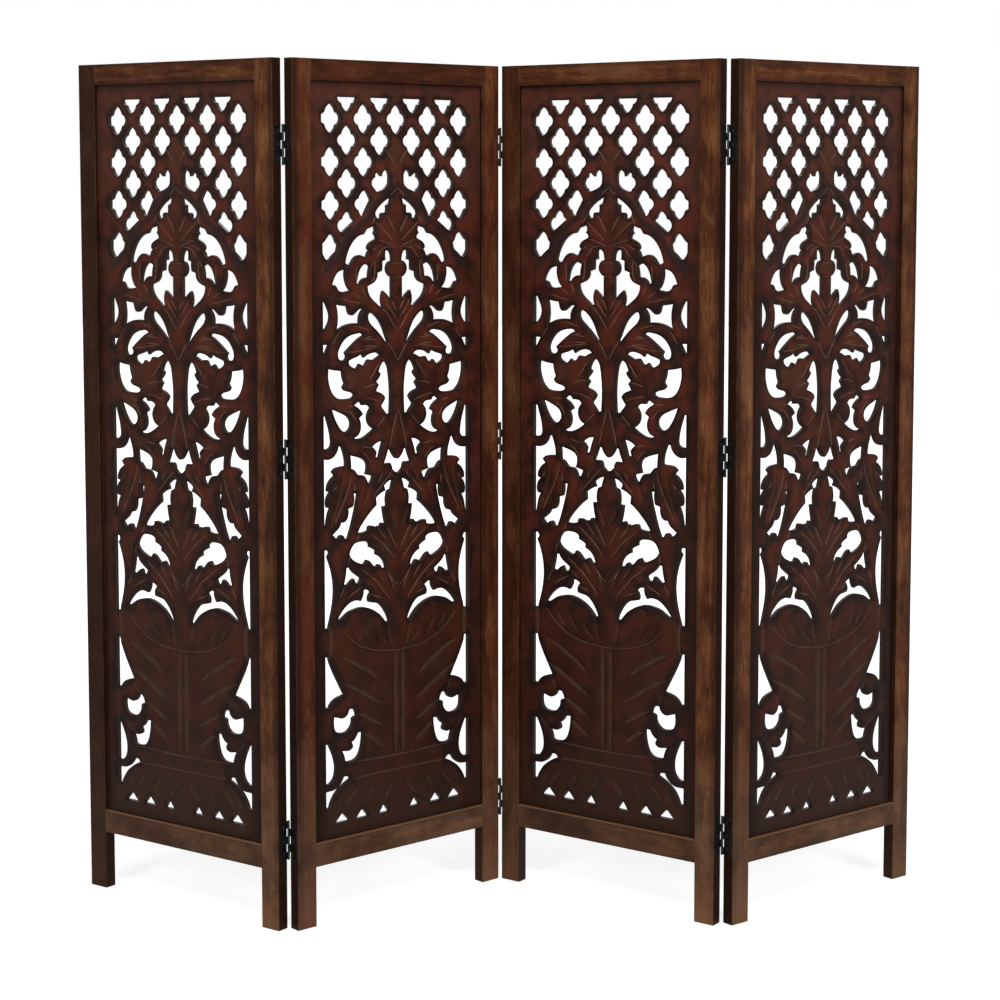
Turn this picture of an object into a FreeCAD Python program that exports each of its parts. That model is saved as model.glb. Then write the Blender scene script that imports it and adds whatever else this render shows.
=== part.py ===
import FreeCAD, Part
import math
import os

import Sketcher

# Folding screen of four carved panels, in millimetres. The floor is Z zero, +Y points away from the
# viewer, and the origin is under the middle of the standing screen.
# Each panel is drawn lying along +X from its left edge, with its front face at Y zero.

Vector = FreeCAD.Vector

document = FreeCAD.newDocument("carved_jali_screen")
sheet = document.addObject("Spreadsheet::Sheet", "sizes")

SIZES = {
    # whole screen
    "screen_height": 1829,
    "panel_width": 559,
    "panel_gap": 3.6,
    # frame
    "frame_depth": 27.5,
    "stile_width": 48,
    "top_rail_height": 44.5,
    "bottom_rail_height": 50,
    "leg_height": 128,
    "frame_edge_radius": 1.2,
    "tenon_length": 28,
    "tenon_thickness": 9,
    "tenon_shoulder": 10,
    "glue_gap": 0.1,
    # carved board
    "board_thickness": 10,
    "board_groove_depth": 9,
    "board_end_play": 1,
    "board_side_play": 0.2,
    "border_width": 32,
    "small_row_height": 18,
    "foliage_rim_margin": 2.2,
    "lattice_rim_margin": 0.8,
    "small_row_rise": 11,
    # hinges
    "hinge_height": 83,
    "hinge_top_inset": 177,
    "hinge_middle_height": 1000,
    "hinge_bottom_height": 190,
    "leaf_thickness": 1.4,
    "leaf_reach": 25,
    "leaf_corner_radius": 5,
    "pin_radius": 1.2,
    "pin_clearance": 0.05,
    "pin_head_height": 1.2,
    "pin_head_radius": 2.4,
    "pin_standoff": 3.2,
    "knuckle_gap": 0.3,
    "knuckle_notch": 5.2,
    "mortise_play": 0.2,
    # hinge screws
    "screw_length": 13,
    "screw_radius": 1.75,
    "screw_head_radius": 3.2,
    "screw_slot_width": 0.8,
    "screw_slot_depth": 0.7,
    "screw_end_margin": 13,
    "screw_from_edge": 10,
    # spare length of every cutting tool beyond what it cuts
    "overrun": 5,
}
# How it stands, in degrees: the turn of the first panel, then the fold at each joint
ANGLES = {
    "first_panel_angle": 35.7,
    "first_fold_angle": 76.6,
    "middle_fold_angle": 77.5,
    "last_fold_angle": 75.7,
}
for row, (alias, value) in enumerate([*SIZES.items(), *ANGLES.items()], start=1):
    sheet.set(f"A{row}", alias)
    sheet.set(f"B{row}", str(value))
    sheet.setAlias(f"B{row}", alias)
document.recompute()


def size(alias):
    return float(sheet.get(alias))


PANELS = (1, 2, 3, 4)
WHOLE_SHARE = 1000  # every share below is in thousandths
KNUCKLES = 5
SCREWS_PER_LEAF = 3

# Sizes that follow from the sheet
panel_width = size("panel_width")
screen_height = size("screen_height")
frame_depth = size("frame_depth")
stile_width = size("stile_width")
board_thickness = size("board_thickness")
board_front = (frame_depth - board_thickness) / 2
bore_radius = size("pin_radius") + size("pin_clearance")
bottom_rail_top = size("leg_height") + size("bottom_rail_height")
top_rail_bottom = screen_height - size("top_rail_height")
opening_width = panel_width - 2 * stile_width

# The carved field, inside the plain border of the board
field_half_width = opening_width / 2 - size("border_width")
field_bottom = bottom_rail_top + size("border_width") + size("small_row_rise")
field_top = top_rail_bottom - size("border_width")
field_height = field_top - field_bottom

hinge_half = size("hinge_height") / 2
HINGE_HEIGHTS = {
    "top": screen_height - size("hinge_top_inset"),
    "middle": size("hinge_middle_height"),
    "bottom": size("hinge_bottom_height"),
}
# Each hinge has five knuckles; the leaf on this side of the joint carries three of them
THREE_KNUCKLE_SIDES = {
    1: {"top": "right", "middle": "right", "bottom": "left"},
    2: {"top": "left", "middle": "left", "bottom": "left"},
    3: {"top": "right", "middle": "left", "bottom": "right"},
}


# Where the panels stand


def turned(x, y, angle):
    return FreeCAD.Rotation(Vector(0, 0, 1), angle).multVec(Vector(x, y, 0))


def standing_layout():
    """Places of the four panels and the three hinge lines, with the floor box round the origin."""
    first, second = size("first_fold_angle"), size("middle_fold_angle")
    turns = [-size("first_panel_angle")]
    for fold in (first, -second, size("last_fold_angle")):
        turns.append(turns[-1] + fold)
    half_gap = size("panel_gap") / 2
    back_line = frame_depth + size("pin_standoff")
    front_line = -size("pin_standoff")
    origins = [Vector(0, 0, 0)]
    lines = []
    for step, pin_depth in enumerate((back_line, front_line, back_line)):
        line = origins[-1] + turned(panel_width + half_gap, pin_depth, turns[step])
        lines.append(line)
        origins.append(line - turned(-half_gap, pin_depth, turns[step + 1]))
    corners = [
        origin + turned(x, y, turn)
        for origin, turn in zip(origins, turns)
        for x in (0, panel_width)
        for y in (0, frame_depth)
    ]
    centre_x = (min(c.x for c in corners) + max(c.x for c in corners)) / 2
    centre_y = (min(c.y for c in corners) + max(c.y for c in corners)) / 2
    shift = Vector(centre_x, centre_y, 0)
    places = {}
    for panel, origin, turn in zip(PANELS, origins, turns):
        rotation = FreeCAD.Rotation(Vector(0, 0, 1), turn)
        places[panel] = FreeCAD.Placement(origin - shift, rotation)
    return places, [line - shift for line in lines]


panel_places, hinge_lines = standing_layout()


# Drawing helpers


def origin_plane(body, role):
    return next(feature for feature in body.Origin.OriginFeatures if feature.Role == role)


def rectangle_sketch(body, name, role, offset, left, bottom, right, top):
    """A rectangle on one of the body's own planes, with sides and offset given by the sheet."""
    sketch = body.newObject("Sketcher::SketchObject", name)
    sketch.AttachmentSupport = [(origin_plane(body, role), "")]
    sketch.MapMode = "FlatFace"
    sketch.setExpression(".AttachmentOffset.Base.z", offset)
    guess = [Vector(0, 0, 0), Vector(1, 0, 0), Vector(1, 1, 0), Vector(0, 1, 0)]
    for index in range(4):
        sketch.addGeometry(Part.LineSegment(guess[index], guess[(index + 1) % 4]))
    for index in range(4):
        sketch.addConstraint(Sketcher.Constraint("Coincident", index, 2, (index + 1) % 4, 1))
    for kind, edges in (("Horizontal", (0, 2)), ("Vertical", (1, 3))):
        for edge in edges:
            sketch.addConstraint(Sketcher.Constraint(kind, edge))
    sides = {
        "left": ("DistanceX", 0, left),
        "bottom": ("DistanceY", 0, bottom),
        "right": ("DistanceX", 2, right),
        "top": ("DistanceY", 2, top),
    }
    for side, (kind, edge, expression) in sides.items():
        number = sketch.addConstraint(Sketcher.Constraint(kind, -1, 1, edge, 1, 1.0))
        sketch.renameConstraint(number, side)
        sketch.setExpression(f"Constraints.{side}", expression)
    return sketch


def millimetres(formula):
    return f"({formula}) * 1 mm"


def padded_block(body, low, high):
    """Pads a block between two corners, each given as three formulas of the sheet's names."""
    sketch = rectangle_sketch(
        body, "outline", "XY_Plane", millimetres(low[2]),
        millimetres(low[0]), millimetres(low[1]), millimetres(high[0]), millimetres(high[1]),
    )
    pad = body.newObject("PartDesign::Pad", "block")
    pad.Profile = sketch
    pad.setExpression("Length", millimetres(f"({high[2]}) - ({low[2]})"))
    document.recompute()
    return pad


def added_block(body, name, low, high):
    pad = padded_block(body, low, high)
    pad.Label = f"{body.Label}_{name}"
    return pad


def cut_block(body, name, low, high):
    """Cuts a block between two corners out of the body."""
    before = body.Shape.Volume
    sketch = rectangle_sketch(
        body, f"{name}_outline", "XY_Plane", millimetres(low[2]),
        millimetres(low[0]), millimetres(low[1]), millimetres(high[0]), millimetres(high[1]),
    )
    pocket = body.newObject("PartDesign::Pocket", name)
    pocket.Profile = sketch
    pocket.Reversed = True
    pocket.setExpression("Length", millimetres(f"({high[2]}) - ({low[2]})"))
    document.recompute()
    if body.Shape.Volume >= before:
        raise RuntimeError(f"{body.Label}: {name} cuts nothing")
    return pocket


def soften_long_edges(body, feature, direction):
    """Rounds the four long edges of a planed bar."""
    names = []
    for number, edge in enumerate(feature.Shape.Edges, start=1):
        if abs(edge.tangentAt(edge.FirstParameter).dot(direction)) > 0.99:
            names.append(f"Edge{number}")
    fillet = body.newObject("PartDesign::Fillet", "soft_edges")
    fillet.Base = (feature, names)
    fillet.setExpression("Radius", "sizes.frame_edge_radius * 1 mm")
    document.recompute()


def s(formula):
    """Writes sheet names as formula names: every word of the formula is a cell of the sheet."""
    words = formula.replace("(", " ( ").replace(")", " ) ").split()
    return " ".join(f"sizes.{word}" if word in SIZES else word for word in words)


# The grooves and mortises share these formulas, in the panel's own directions
GROOVE_FRONT = s("( frame_depth - board_thickness ) / 2 - board_side_play")
GROOVE_BACK = s("( frame_depth + board_thickness ) / 2 + board_side_play")
MORTISE_FRONT = s("( frame_depth - tenon_thickness ) / 2 - glue_gap")
MORTISE_BACK = s("( frame_depth + tenon_thickness ) / 2 + glue_gap")
RAILS = {
    # each rail's lowest and highest level
    "bottom": (s("leg_height"), s("leg_height + bottom_rail_height")),
    "top": (s("screen_height - top_rail_height"), s("screen_height")),
}


def screw_heights(hinge):
    middle = HINGE_HEIGHTS[hinge]
    reach = hinge_half - size("screw_end_margin")
    step = 2 * reach / (SCREWS_PER_LEAF - 1)
    return [middle - reach + step * index for index in range(SCREWS_PER_LEAF)]


def hinge_sides(panel):
    """The edges of a panel that carry hinges, and on which face the hinge pin stands there."""
    sides = {}
    if panel > PANELS[0]:
        sides["left"] = "back" if panel % 2 == 0 else "front"
    if panel < PANELS[-1]:
        sides["right"] = "back" if panel % 2 == 1 else "front"
    return sides


HINGE_LEVELS = {
    "top": s("screen_height - hinge_top_inset"),
    "middle": s("hinge_middle_height"),
    "bottom": s("hinge_bottom_height"),
}
HINGE_MORTISE_DEPTH = s("pin_radius + pin_clearance + leaf_thickness - panel_gap / 2")
LEAF_INSIDE = s("leaf_reach - pin_standoff + mortise_play")


# Frame


def make_stile(panel, side):
    """An upright that runs from the floor to the top: panel groove, two mortises and hinge recesses."""
    body = document.addObject("PartDesign::Body", f"stile_{side}_{panel}")
    body.Label = f"stile_{side}_{panel}"
    outer = "0" if side == "left" else s("panel_width")
    inner = s("stile_width") if side == "left" else s("panel_width - stile_width")
    inward = 1 if side == "left" else -1

    def across(near, far):
        """Orders two widths so that the smaller comes first."""
        return (near, far) if side == "left" else (far, near)

    low_x, high_x = across(outer, inner)
    pad = padded_block(body, (low_x, "0", "0"), (high_x, s("frame_depth"), s("screen_height")))
    soften_long_edges(body, pad, Vector(0, 0, 1))

    groove_low, groove_high = across(
        f"{inner} - {inward} * {s('board_groove_depth')}", f"{inner} + {inward} * {s('overrun')}"
    )
    cut_block(
        body, "board_groove",
        (groove_low, GROOVE_FRONT, s("leg_height + bottom_rail_height / 2")),
        (groove_high, GROOVE_BACK, s("screen_height - top_rail_height / 2")),
    )
    mortise_low, mortise_high = across(
        f"{inner} - {inward} * ({s('tenon_length + board_end_play')})",
        f"{inner} + {inward} * {s('overrun')}",
    )
    for rail, (low, high) in RAILS.items():
        cut_block(
            body, f"{rail}_mortise",
            (mortise_low, MORTISE_FRONT, f"{low} + {s('tenon_shoulder - glue_gap')}"),
            (mortise_high, MORTISE_BACK, f"{high} - {s('tenon_shoulder + glue_gap')}"),
        )
    if side in hinge_sides(panel):
        cut_hinge_recesses(body, side, outer, inward, hinge_sides(panel)[side])
    body.Placement = panel_places[panel]
    return body


def cut_hinge_recesses(body, side, outer, inward, face):
    """Lets the hinge leaves into the stile's edge, and drills it for their screws."""
    deep = f"{outer} + {inward} * ({HINGE_MORTISE_DEPTH})"
    clear = f"{outer} - {inward} * {s('overrun')}"
    low_x, high_x = (clear, deep) if side == "left" else (deep, clear)
    if face == "back":
        near, far = s("frame_depth") + f" - ({LEAF_INSIDE})", s("frame_depth + overrun")
    else:
        near, far = s("0 - overrun"), LEAF_INSIDE
    for hinge, level in HINGE_LEVELS.items():
        half = s("hinge_height / 2 + mortise_play")
        cut_block(
            body, f"{hinge}_hinge_recess",
            (low_x, near, f"{level} - ({half})"), (high_x, far, f"{level} + {half}"),
        )
    round_recess_corners(body, face)
    drill_screw_holes(body, side, face)


def round_recess_corners(body, face):
    """Rounds the closed corners of the recesses like those of the leaves."""
    depth = size("leaf_reach") - size("pin_standoff") + size("mortise_play")
    inside = frame_depth - depth if face == "back" else depth
    names = []
    for number, edge in enumerate(body.Shape.Edges, start=1):
        across_recess = abs(edge.tangentAt(edge.FirstParameter).x) > 0.99
        if across_recess and math.isclose(edge.CenterOfMass.y, inside):
            names.append(f"Edge{number}")
    recessed = body.Tip
    corners = body.newObject("PartDesign::Fillet", "recess_corners")
    corners.Base = (recessed, names)
    corners.setExpression("Radius", "sizes.leaf_corner_radius * 1 mm")
    document.recompute()


def drill_screw_holes(body, side, face):
    sketch = body.newObject("Sketcher::SketchObject", "screw_holes_outline")
    sketch.AttachmentSupport = [(origin_plane(body, "YZ_Plane"), "")]
    sketch.MapMode = "FlatFace"
    outer = "0" if side == "left" else s("panel_width")
    sketch.setExpression(".AttachmentOffset.Base.z", millimetres(outer))
    depth = s("screw_from_edge") if face == "front" else s("frame_depth - screw_from_edge")
    reach = s("hinge_height / 2 - screw_end_margin")
    number = 0
    for level in HINGE_LEVELS.values():
        for index in range(SCREWS_PER_LEAF):
            spread = 2 * index / (SCREWS_PER_LEAF - 1) - 1
            sketch.addGeometry(Part.Circle(Vector(0, 0, 0), Vector(0, 0, 1), 1))
            height = f"{level} + {spread} * ({reach})"
            holes = {
                "depth": ("DistanceX", (-1, 1, number, 3), millimetres(depth)),
                "level": ("DistanceY", (-1, 1, number, 3), millimetres(height)),
                "radius": ("Radius", (number,), s("screw_radius") + " * 1 mm"),
            }
            for word, (kind, ends, expression) in holes.items():
                place = sketch.addConstraint(Sketcher.Constraint(kind, *ends, 1.0))
                sketch.renameConstraint(place, f"{word}_{number}")
                sketch.setExpression(f"Constraints.{word}_{number}", expression)
            number += 1
    before = body.Shape.Volume
    pocket = body.newObject("PartDesign::Pocket", "screw_holes")
    pocket.Profile = sketch
    pocket.Reversed = side == "left"
    pocket.setExpression("Length", millimetres(f"{HINGE_MORTISE_DEPTH} + " + s("screw_length")))
    document.recompute()
    if body.Shape.Volume >= before:
        raise RuntimeError(f"{body.Label}: screw holes cut nothing")


def make_rail(panel, end):
    """A cross rail with a tenon at both ends and a groove for the carved board."""
    body = document.addObject("PartDesign::Body", f"{end}_rail_{panel}")
    body.Label = f"{end}_rail_{panel}"
    low, high = RAILS[end]
    left, right = s("stile_width"), s("panel_width - stile_width")
    pad = padded_block(body, (left, "0", low), (right, s("frame_depth"), high))
    soften_long_edges(body, pad, Vector(1, 0, 0))
    added_block(
        body, "tenons",
        (f"{left} - {s('tenon_length')}", s("( frame_depth - tenon_thickness ) / 2"),
         f"{low} + {s('tenon_shoulder')}"),
        (f"{right} + {s('tenon_length')}", s("( frame_depth + tenon_thickness ) / 2"),
         f"{high} - {s('tenon_shoulder')}"),
    )
    if end == "bottom":
        groove = (f"{high} - {s('board_groove_depth')}", f"{high} + {s('overrun')}")
    else:
        groove = (f"{low} - {s('overrun')}", f"{low} + {s('board_groove_depth')}")
    cut_block(
        body, "board_groove",
        (f"{left} - ({s('tenon_length + overrun')})", GROOVE_FRONT, groove[0]),
        (f"{right} + {s('tenon_length + overrun')}", GROOVE_BACK, groove[1]),
    )
    body.Placement = panel_places[panel]
    return body


# Carved board: outlines of the openings of one half, from the centre line outwards.
# A point is (share of the field's half width, share of the field's height), both in thousandths.
# An opening is a list of strokes: each is a smooth curve or a straight line to the start of the next.

FOIL_COLUMN_SHARE = 219
FOIL_ROW_SHARE = 29.4
FOIL_TIP_SHARES = [(0, 21), (46, 16.8), (80, 8.5)]
FOIL_LOBE_SHARES = [(80, 8.5), (118, 5.4), (133, 0)]
# Rows counted down from the field's top edge; columns counted out from the centre line
WHOLE_FOILS = [(1, 0), (1, 2), (2, 1), (2, 3), (3, 2), (4, 3)]
EDGE_FOILS = [(1, 4), (3, 4), (5, 4)]
HALF_FOILS = [(0, 1), (0, 3)]

OPENING_SHARES = {
    "foil_by_finial": [
        [(195, 894), (172, 901), (135, 902.5), (100, 899), (86, 889), (98, 880), (140, 875)],
        [(262, 869), (282, 870.5)],
        [(300, 874), (332, 877.5), (345, 883.5), (325, 889)],
        [(292, 892), (278, 898), (252, 899), (222, 896.5)],
    ],
    "flame_by_palmette": [
        [(62, 866), (120, 862.5), (200, 856), (265, 848.5), (297, 841.5), (275, 834.5), (235, 832)],
        [(200, 834.5), (194, 839)],
        [(128, 840), (119, 846)],
        [(122, 851.5), (98, 852.5)],
        [(76, 855)],
    ],
    "foil_over_arch_upper": [
        [(438, 874.5), (483, 870.5)],
        [(518, 862.5), (555, 860), (575, 854), (552, 847.5)],
        [(518, 844.5), (498, 838.5), (465, 835.8), (440, 836)],
        [(425, 839.5)],
        [(335, 859.5), (352, 864), (372, 868.5), (400, 872.8)],
    ],
    "foil_over_arch_middle": [
        [(657, 846), (705, 842)],
        [(738, 834.5), (778, 832), (802, 825), (785, 818.5), (745, 814.5)],
        [(712, 815)],
        [(545, 831), (570, 833.5)],
        [(592, 836), (612, 842)],
    ],
    "foil_over_arch_lower": [
        [(876, 815.5), (925, 811.5), (958, 806)],
        [(1000, 802)],
        [(1000, 788), (962, 779.5), (925, 776.5), (890, 778)],
        [(862, 781.5)],
        [(790, 789)],
        [(770, 799), (790, 801.5)],
        [(805, 805), (832, 811.5)],
    ],
    "arch_space": [
        [(325, 826), (365, 822.3), (405, 820.5), (428, 816.5)],
        [(448, 813.5), (520, 811), (590, 804), (650, 793), (685, 782)],
        [(700, 773), (660, 770)],
        [(622, 769), (595, 774), (555, 780), (500, 782.7), (455, 781)],
        [(425, 779.5), (398, 781), (380, 786)],
        [(348, 790), (368, 791.5)],
        [(378, 794), (355, 799), (310, 802.5)],
        [(262, 805.5), (272, 811)],
        [(296, 813.5), (277, 818)],
        [(290, 823), (305, 825)],
    ],
    "scroll_space": [
        [(675, 765.8), (725, 765.5), (790, 762.5), (842, 754.5)],
        [(877, 743), (830, 742)],
        [(800, 737), (765, 733.5), (690, 733)],
        [(600, 734.5), (642, 740.5), (672, 749.5), (682, 758.5)],
    ],
    "small_crescent": [
        [(350, 769), (385, 771.5), (425, 772.8), (470, 770), (512, 763), (540, 752)],
        [(550, 744), (520, 742.5)],
        [(495, 743), (470, 747.5), (435, 750.5)],
        [(372, 751), (365, 760)],
    ],
    "beside_knob": [
        [(162, 790), (168, 784)],
        [(162, 777.5), (185, 776.5)],
        [(206, 775.5), (205, 768)],
        [(208, 762.5), (240, 761)],
        [(272, 759.5), (280, 752), (315, 746.5), (360, 743.8)],
        [(406, 741.5), (398, 733), (360, 724), (300, 717)],
        [(228, 710), (200, 710.5)],
        [(182, 712), (196, 721)],
        [(178, 731.5), (140, 727)],
        [(98, 721.5)],
        [(62, 721.5)],
        [(62, 751)],
        [(52, 752.5), (98, 756), (126, 763.5), (98, 772)],
        [(52, 774), (58, 781), (80, 788.5), (115, 791)],
    ],
    "between_branches": [
        [(372, 705.5), (402, 699), (380, 689.5), (300, 680), (225, 670.5)],
        [(165, 661.5), (135, 660.5)],
        [(112, 662), (150, 673), (195, 686.5), (270, 699), (335, 704.5)],
    ],
    "side_spandrel": [
        [(437, 709.5), (470, 711.3), (530, 709), (575, 704.2), (608, 702.8), (638, 706), (650, 712)],
        [(662, 715.5), (730, 716.3)],
        [(827, 719), (806, 706), (806, 692)],
        [(826, 679.5), (755, 683.8), (670, 687.8), (580, 689)],
        [(495, 688.5), (497, 695), (478, 703)],
    ],
    "edge_sliver_upper": [
        [(1000, 722.5)],
        [(945, 722.5), (905, 712), (882, 700), (900, 691.5)],
        [(948, 683)],
        [(1000, 683)],
    ],
    "edge_sliver_small": [
        [(893, 663.5)],
        [(1000, 664)],
        [(1000, 648.5)],
        [(955, 648.5), (925, 655.5)],
    ],
    "upper_leaf_crescent": [
        [(430, 672.5), (462, 676.3), (540, 677), (630, 674.8), (712, 669), (775, 659),
         (804, 647.5), (785, 640.5), (735, 638.3)],
        [(682, 640.5), (668, 644)],
        [(688, 649.5), (640, 654.8), (575, 661.5), (500, 668.5)],
    ],
    "under_upper_leaf": [
        [(205, 643), (250, 648), (330, 649), (400, 646.8)],
        [(448, 643.2), (490, 648), (530, 645.5), (590, 643)],
        [(660, 639.5), (655, 633), (605, 628)],
        [(552, 624.8), (528, 628)],
        [(502, 632.3), (440, 629.8)],
        [(405, 634.5), (375, 637.6), (330, 636.5), (270, 639.8)],
    ],
    "side_crescent": [
        [(925, 632), (935, 619), (918, 606), (878, 594.5), (815, 587.2), (735, 585),
         (640, 585.2), (588, 587.3)],
        [(562, 591.2), (600, 595.2), (665, 597.5)],
        [(715, 603), (700, 605.5)],
        [(690, 608), (712, 615)],
        [(725, 626), (800, 627.3), (865, 628.8)],
    ],
    "beside_trunk": [
        [(165, 637), (205, 634.5), (245, 627)],
        [(263, 621)],
        [(235, 617.5), (262, 612)],
        [(298, 607.5)],
        [(262, 602.5), (280, 599)],
        [(303, 593.5), (240, 590.5), (195, 587)],
        [(176, 583.5), (200, 578)],
        [(230, 573.5), (215, 569.5), (175, 563.5)],
        [(155, 559)],
        [(88, 560), (80, 578), (80, 598), (96, 618), (128, 632)],
    ],
    "between_clusters": [
        [(345, 570.5), (380, 575.5), (425, 577)],
        [(468, 577), (490, 581)],
        [(520, 583), (560, 580)],
        [(600, 576), (545, 572.3), (505, 568)],
        [(480, 563), (505, 561)],
        [(530, 558.5), (505, 549), (518, 539)],
        [(592, 532)],
        [(590, 529), (520, 528), (430, 531), (360, 536)],
        [(300, 541.5), (365, 547.5), (392, 555.5), (380, 564.5)],
    ],
    "teardrop": [
        [(897, 576), (835, 573), (735, 567.5), (655, 561.5), (617, 553.5), (632, 544),
         (695, 539), (755, 542), (805, 549.5), (860, 563)],
    ],
    "edge_sliver_middle": [
        [(1000, 566)],
        [(940, 565.5), (905, 551), (873, 532), (885, 521), (930, 518)],
        [(1000, 518)],
    ],
    "small_triangle": [
        [(180, 525), (260, 523.8)],
        [(360, 516.5), (318, 512)],
        [(295, 508)],
        [(312, 499.5)],
        [(242, 499.5), (222, 509)],
    ],
    "between_stems": [
        [(648, 509.5), (560, 506), (470, 502), (412, 495.5), (402, 489)],
        [(420, 479.5), (375, 478)],
        [(322, 476), (338, 469.5)],
        [(360, 464.5)],
        [(408, 464.5), (430, 471), (470, 476.3), (540, 478), (575, 483)],
        [(635, 487.5), (640, 498)],
    ],
    "edge_behind_side_leaf": [
        [(742, 522.5), (722, 516), (698, 506)],
        [(690, 492), (750, 491.8), (820, 490.5)],
        [(862, 486), (840, 483)],
        [(828, 480.5), (885, 475.5), (925, 467.5)],
        [(928, 461)],
        [(885, 459.5), (925, 453.5), (942, 445)],
        [(935, 438.8)],
        [(888, 437.3), (920, 428.5), (942, 415)],
        [(950, 409)],
        [(1000, 409)],
        [(1000, 507.5), (930, 505.5), (870, 508), (825, 514)],
        [(800, 522.5)],
    ],
    "beside_acanthus_top": [
        [(42, 470), (110, 468)],
        [(198, 460.5)],
        [(178, 454), (245, 450.5)],
        [(305, 445)],
        [(298, 434.5), (385, 425.5), (460, 415.5), (520, 406)],
        [(562, 396.5), (480, 396)],
        [(395, 398.5)],
        [(385, 403.8), (345, 404)],
        [(285, 399.8), (262, 402.5)],
        [(238, 401), (215, 406)],
        [(178, 403)],
        [(150, 403), (172, 416)],
        [(188, 429.3)],
        [(135, 430), (143, 439)],
        [(125, 451)],
        [(80, 453.5), (62, 462)],
    ],
    "below_side_leaf": [
        [(527, 455)],
        [(605, 455), (600, 444)],
        [(615, 436.5), (650, 435.3)],
        [(677, 434), (678, 426), (702, 418.5)],
        [(772, 416), (800, 409), (850, 403.5)],
        [(892, 399.5), (855, 394.5), (815, 391.5)],
        [(788, 394), (755, 396)],
        [(735, 394), (718, 390.5)],
        [(700, 389.5)],
        [(668, 389.5), (625, 404), (578, 424), (545, 441)],
    ],
    "side_lens": [
        [(940, 380.5), (918, 378)],
        [(908, 373.5)],
        [(932, 369), (893, 356.5), (862, 342), (847, 325), (858, 304), (900, 281)],
        [(935, 268)],
        [(1000, 268)],
        [(1000, 380.5)],
    ],
    "beside_acanthus_middle": [
        [(380, 376.5), (388, 382.5), (430, 385.3), (520, 386.3), (595, 384), (637, 378.5)],
        [(667, 368.5), (620, 360), (555, 355)],
        [(478, 351), (445, 352.5)],
        [(425, 356.5), (385, 354), (350, 349)],
        [(320, 345.5)],
        [(285, 346), (262, 348)],
        [(235, 345), (205, 342)],
        [(155, 342), (170, 350.5), (225, 360)],
        [(290, 364.5)],
        [(288, 370), (335, 374)],
    ],
    "leaf_notch": [
        [(705, 352)],
        [(642, 352), (618, 346.5), (560, 340)],
        [(495, 334), (508, 329)],
        [(530, 325.5)],
        [(580, 326)],
        [(600, 332.3), (640, 329.5), (680, 325.5)],
        [(742, 327), (722, 338)],
    ],
    "over_vase": [
        [(478, 318), (482, 311)],
        [(515, 302.5), (570, 304.3), (640, 303), (710, 298), (775, 290)],
        [(838, 279)],
        [(800, 278), (745, 280.5), (680, 286), (600, 289.5), (510, 291), (420, 289),
         (340, 284.5), (260, 277.5), (205, 270)],
        [(175, 265)],
        [(110, 265), (130, 273), (165, 281.5), (215, 290), (270, 295.5), (330, 297.5)],
        [(385, 299), (393, 303), (385, 307)],
        [(355, 311.5), (390, 315.5)],
    ],
    "side_of_vase": [
        [(940, 231), (895, 215.5), (825, 197)],
        [(722, 172), (800, 169.8), (870, 166)],
        [(930, 156.5)],
        [(1000, 156.5)],
        [(1000, 231)],
    ],
    "scroll_eye_upper": [
        [(608, 152)],
        [(680, 152), (702, 145), (750, 141), (805, 142)],
        [(882, 145.5), (888, 132), (862, 122), (790, 117.8), (700, 118.5), (645, 124)],
        [(620, 135.5), (595, 137.8)],
        [(565, 138.5), (575, 145)],
    ],
    "scroll_eye_lower": [
        [(480, 117)],
        [(562, 116.5), (590, 110.5), (620, 106.5)],
        [(658, 104), (640, 100)],
        [(636, 96.5), (660, 94)],
        [(715, 93.5)],
        [(787, 95), (760, 88), (745, 82)],
        [(738, 77.5), (700, 75.5), (640, 75.5), (580, 77.5), (540, 82), (510, 90), (488, 102)],
    ],
    "side_lens_lower": [
        [(937, 106.5), (898, 96.5), (858, 82.5), (845, 69), (862, 58)],
        [(935, 48.5)],
        [(1000, 48.5)],
        [(1000, 109)],
    ],
    "over_foot": [
        [(648, 51), (675, 56)],
        [(700, 57.5)],
        [(755, 58), (790, 50), (835, 44.5), (885, 41.5), (940, 41)],
        [(1000, 41)],
        [(1000, 14)],
        [(930, 15), (900, 25), (852, 34), (790, 41), (715, 47)],
    ],
}

# The opening under the crossing stems lies on the centre line and is drawn whole
CROSSING_SHARES = [
    [(-82, 511.5), (-40, 501.5), (0, 498), (40, 501.5)],
    [(82, 511.5)],
    [(137, 511.5), (168, 500)],
    [(202, 490)],
    [(105, 490), (90, 487)],
    [(82, 482), (62, 479.5), (25, 476), (-25, 476), (-62, 479.5)],
    [(-82, 482), (-90, 487)],
    [(-105, 490)],
    [(-202, 490), (-168, 500)],
    [(-137, 511.5)],
]

# Small openings in the row at the foot: middle, half width of the base and of the top
SMALL_ROW_SHARES = [(212, 72, 12), (510, 88, 14), (778, 99, 15)]
# How far a moved point may slide along a corner, in margins: at a tip of wood, and of an opening
WOOD_TIP_SHARE, OPENING_TIP_SHARE = 1.5, 5
KEPT_ROOM_SHARE = 0.92


def gap_to_line(point, corners):
    """The distance from a point to a closed line of straight runs."""
    gaps = []
    for start, end in zip(corners, corners[1:] + corners[:1]):
        run = end - start
        share = min(1, max(0, (point - start).dot(run) / run.dot(run)))
        gaps.append((start + run * share - point).Length)
    return min(gaps)


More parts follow.
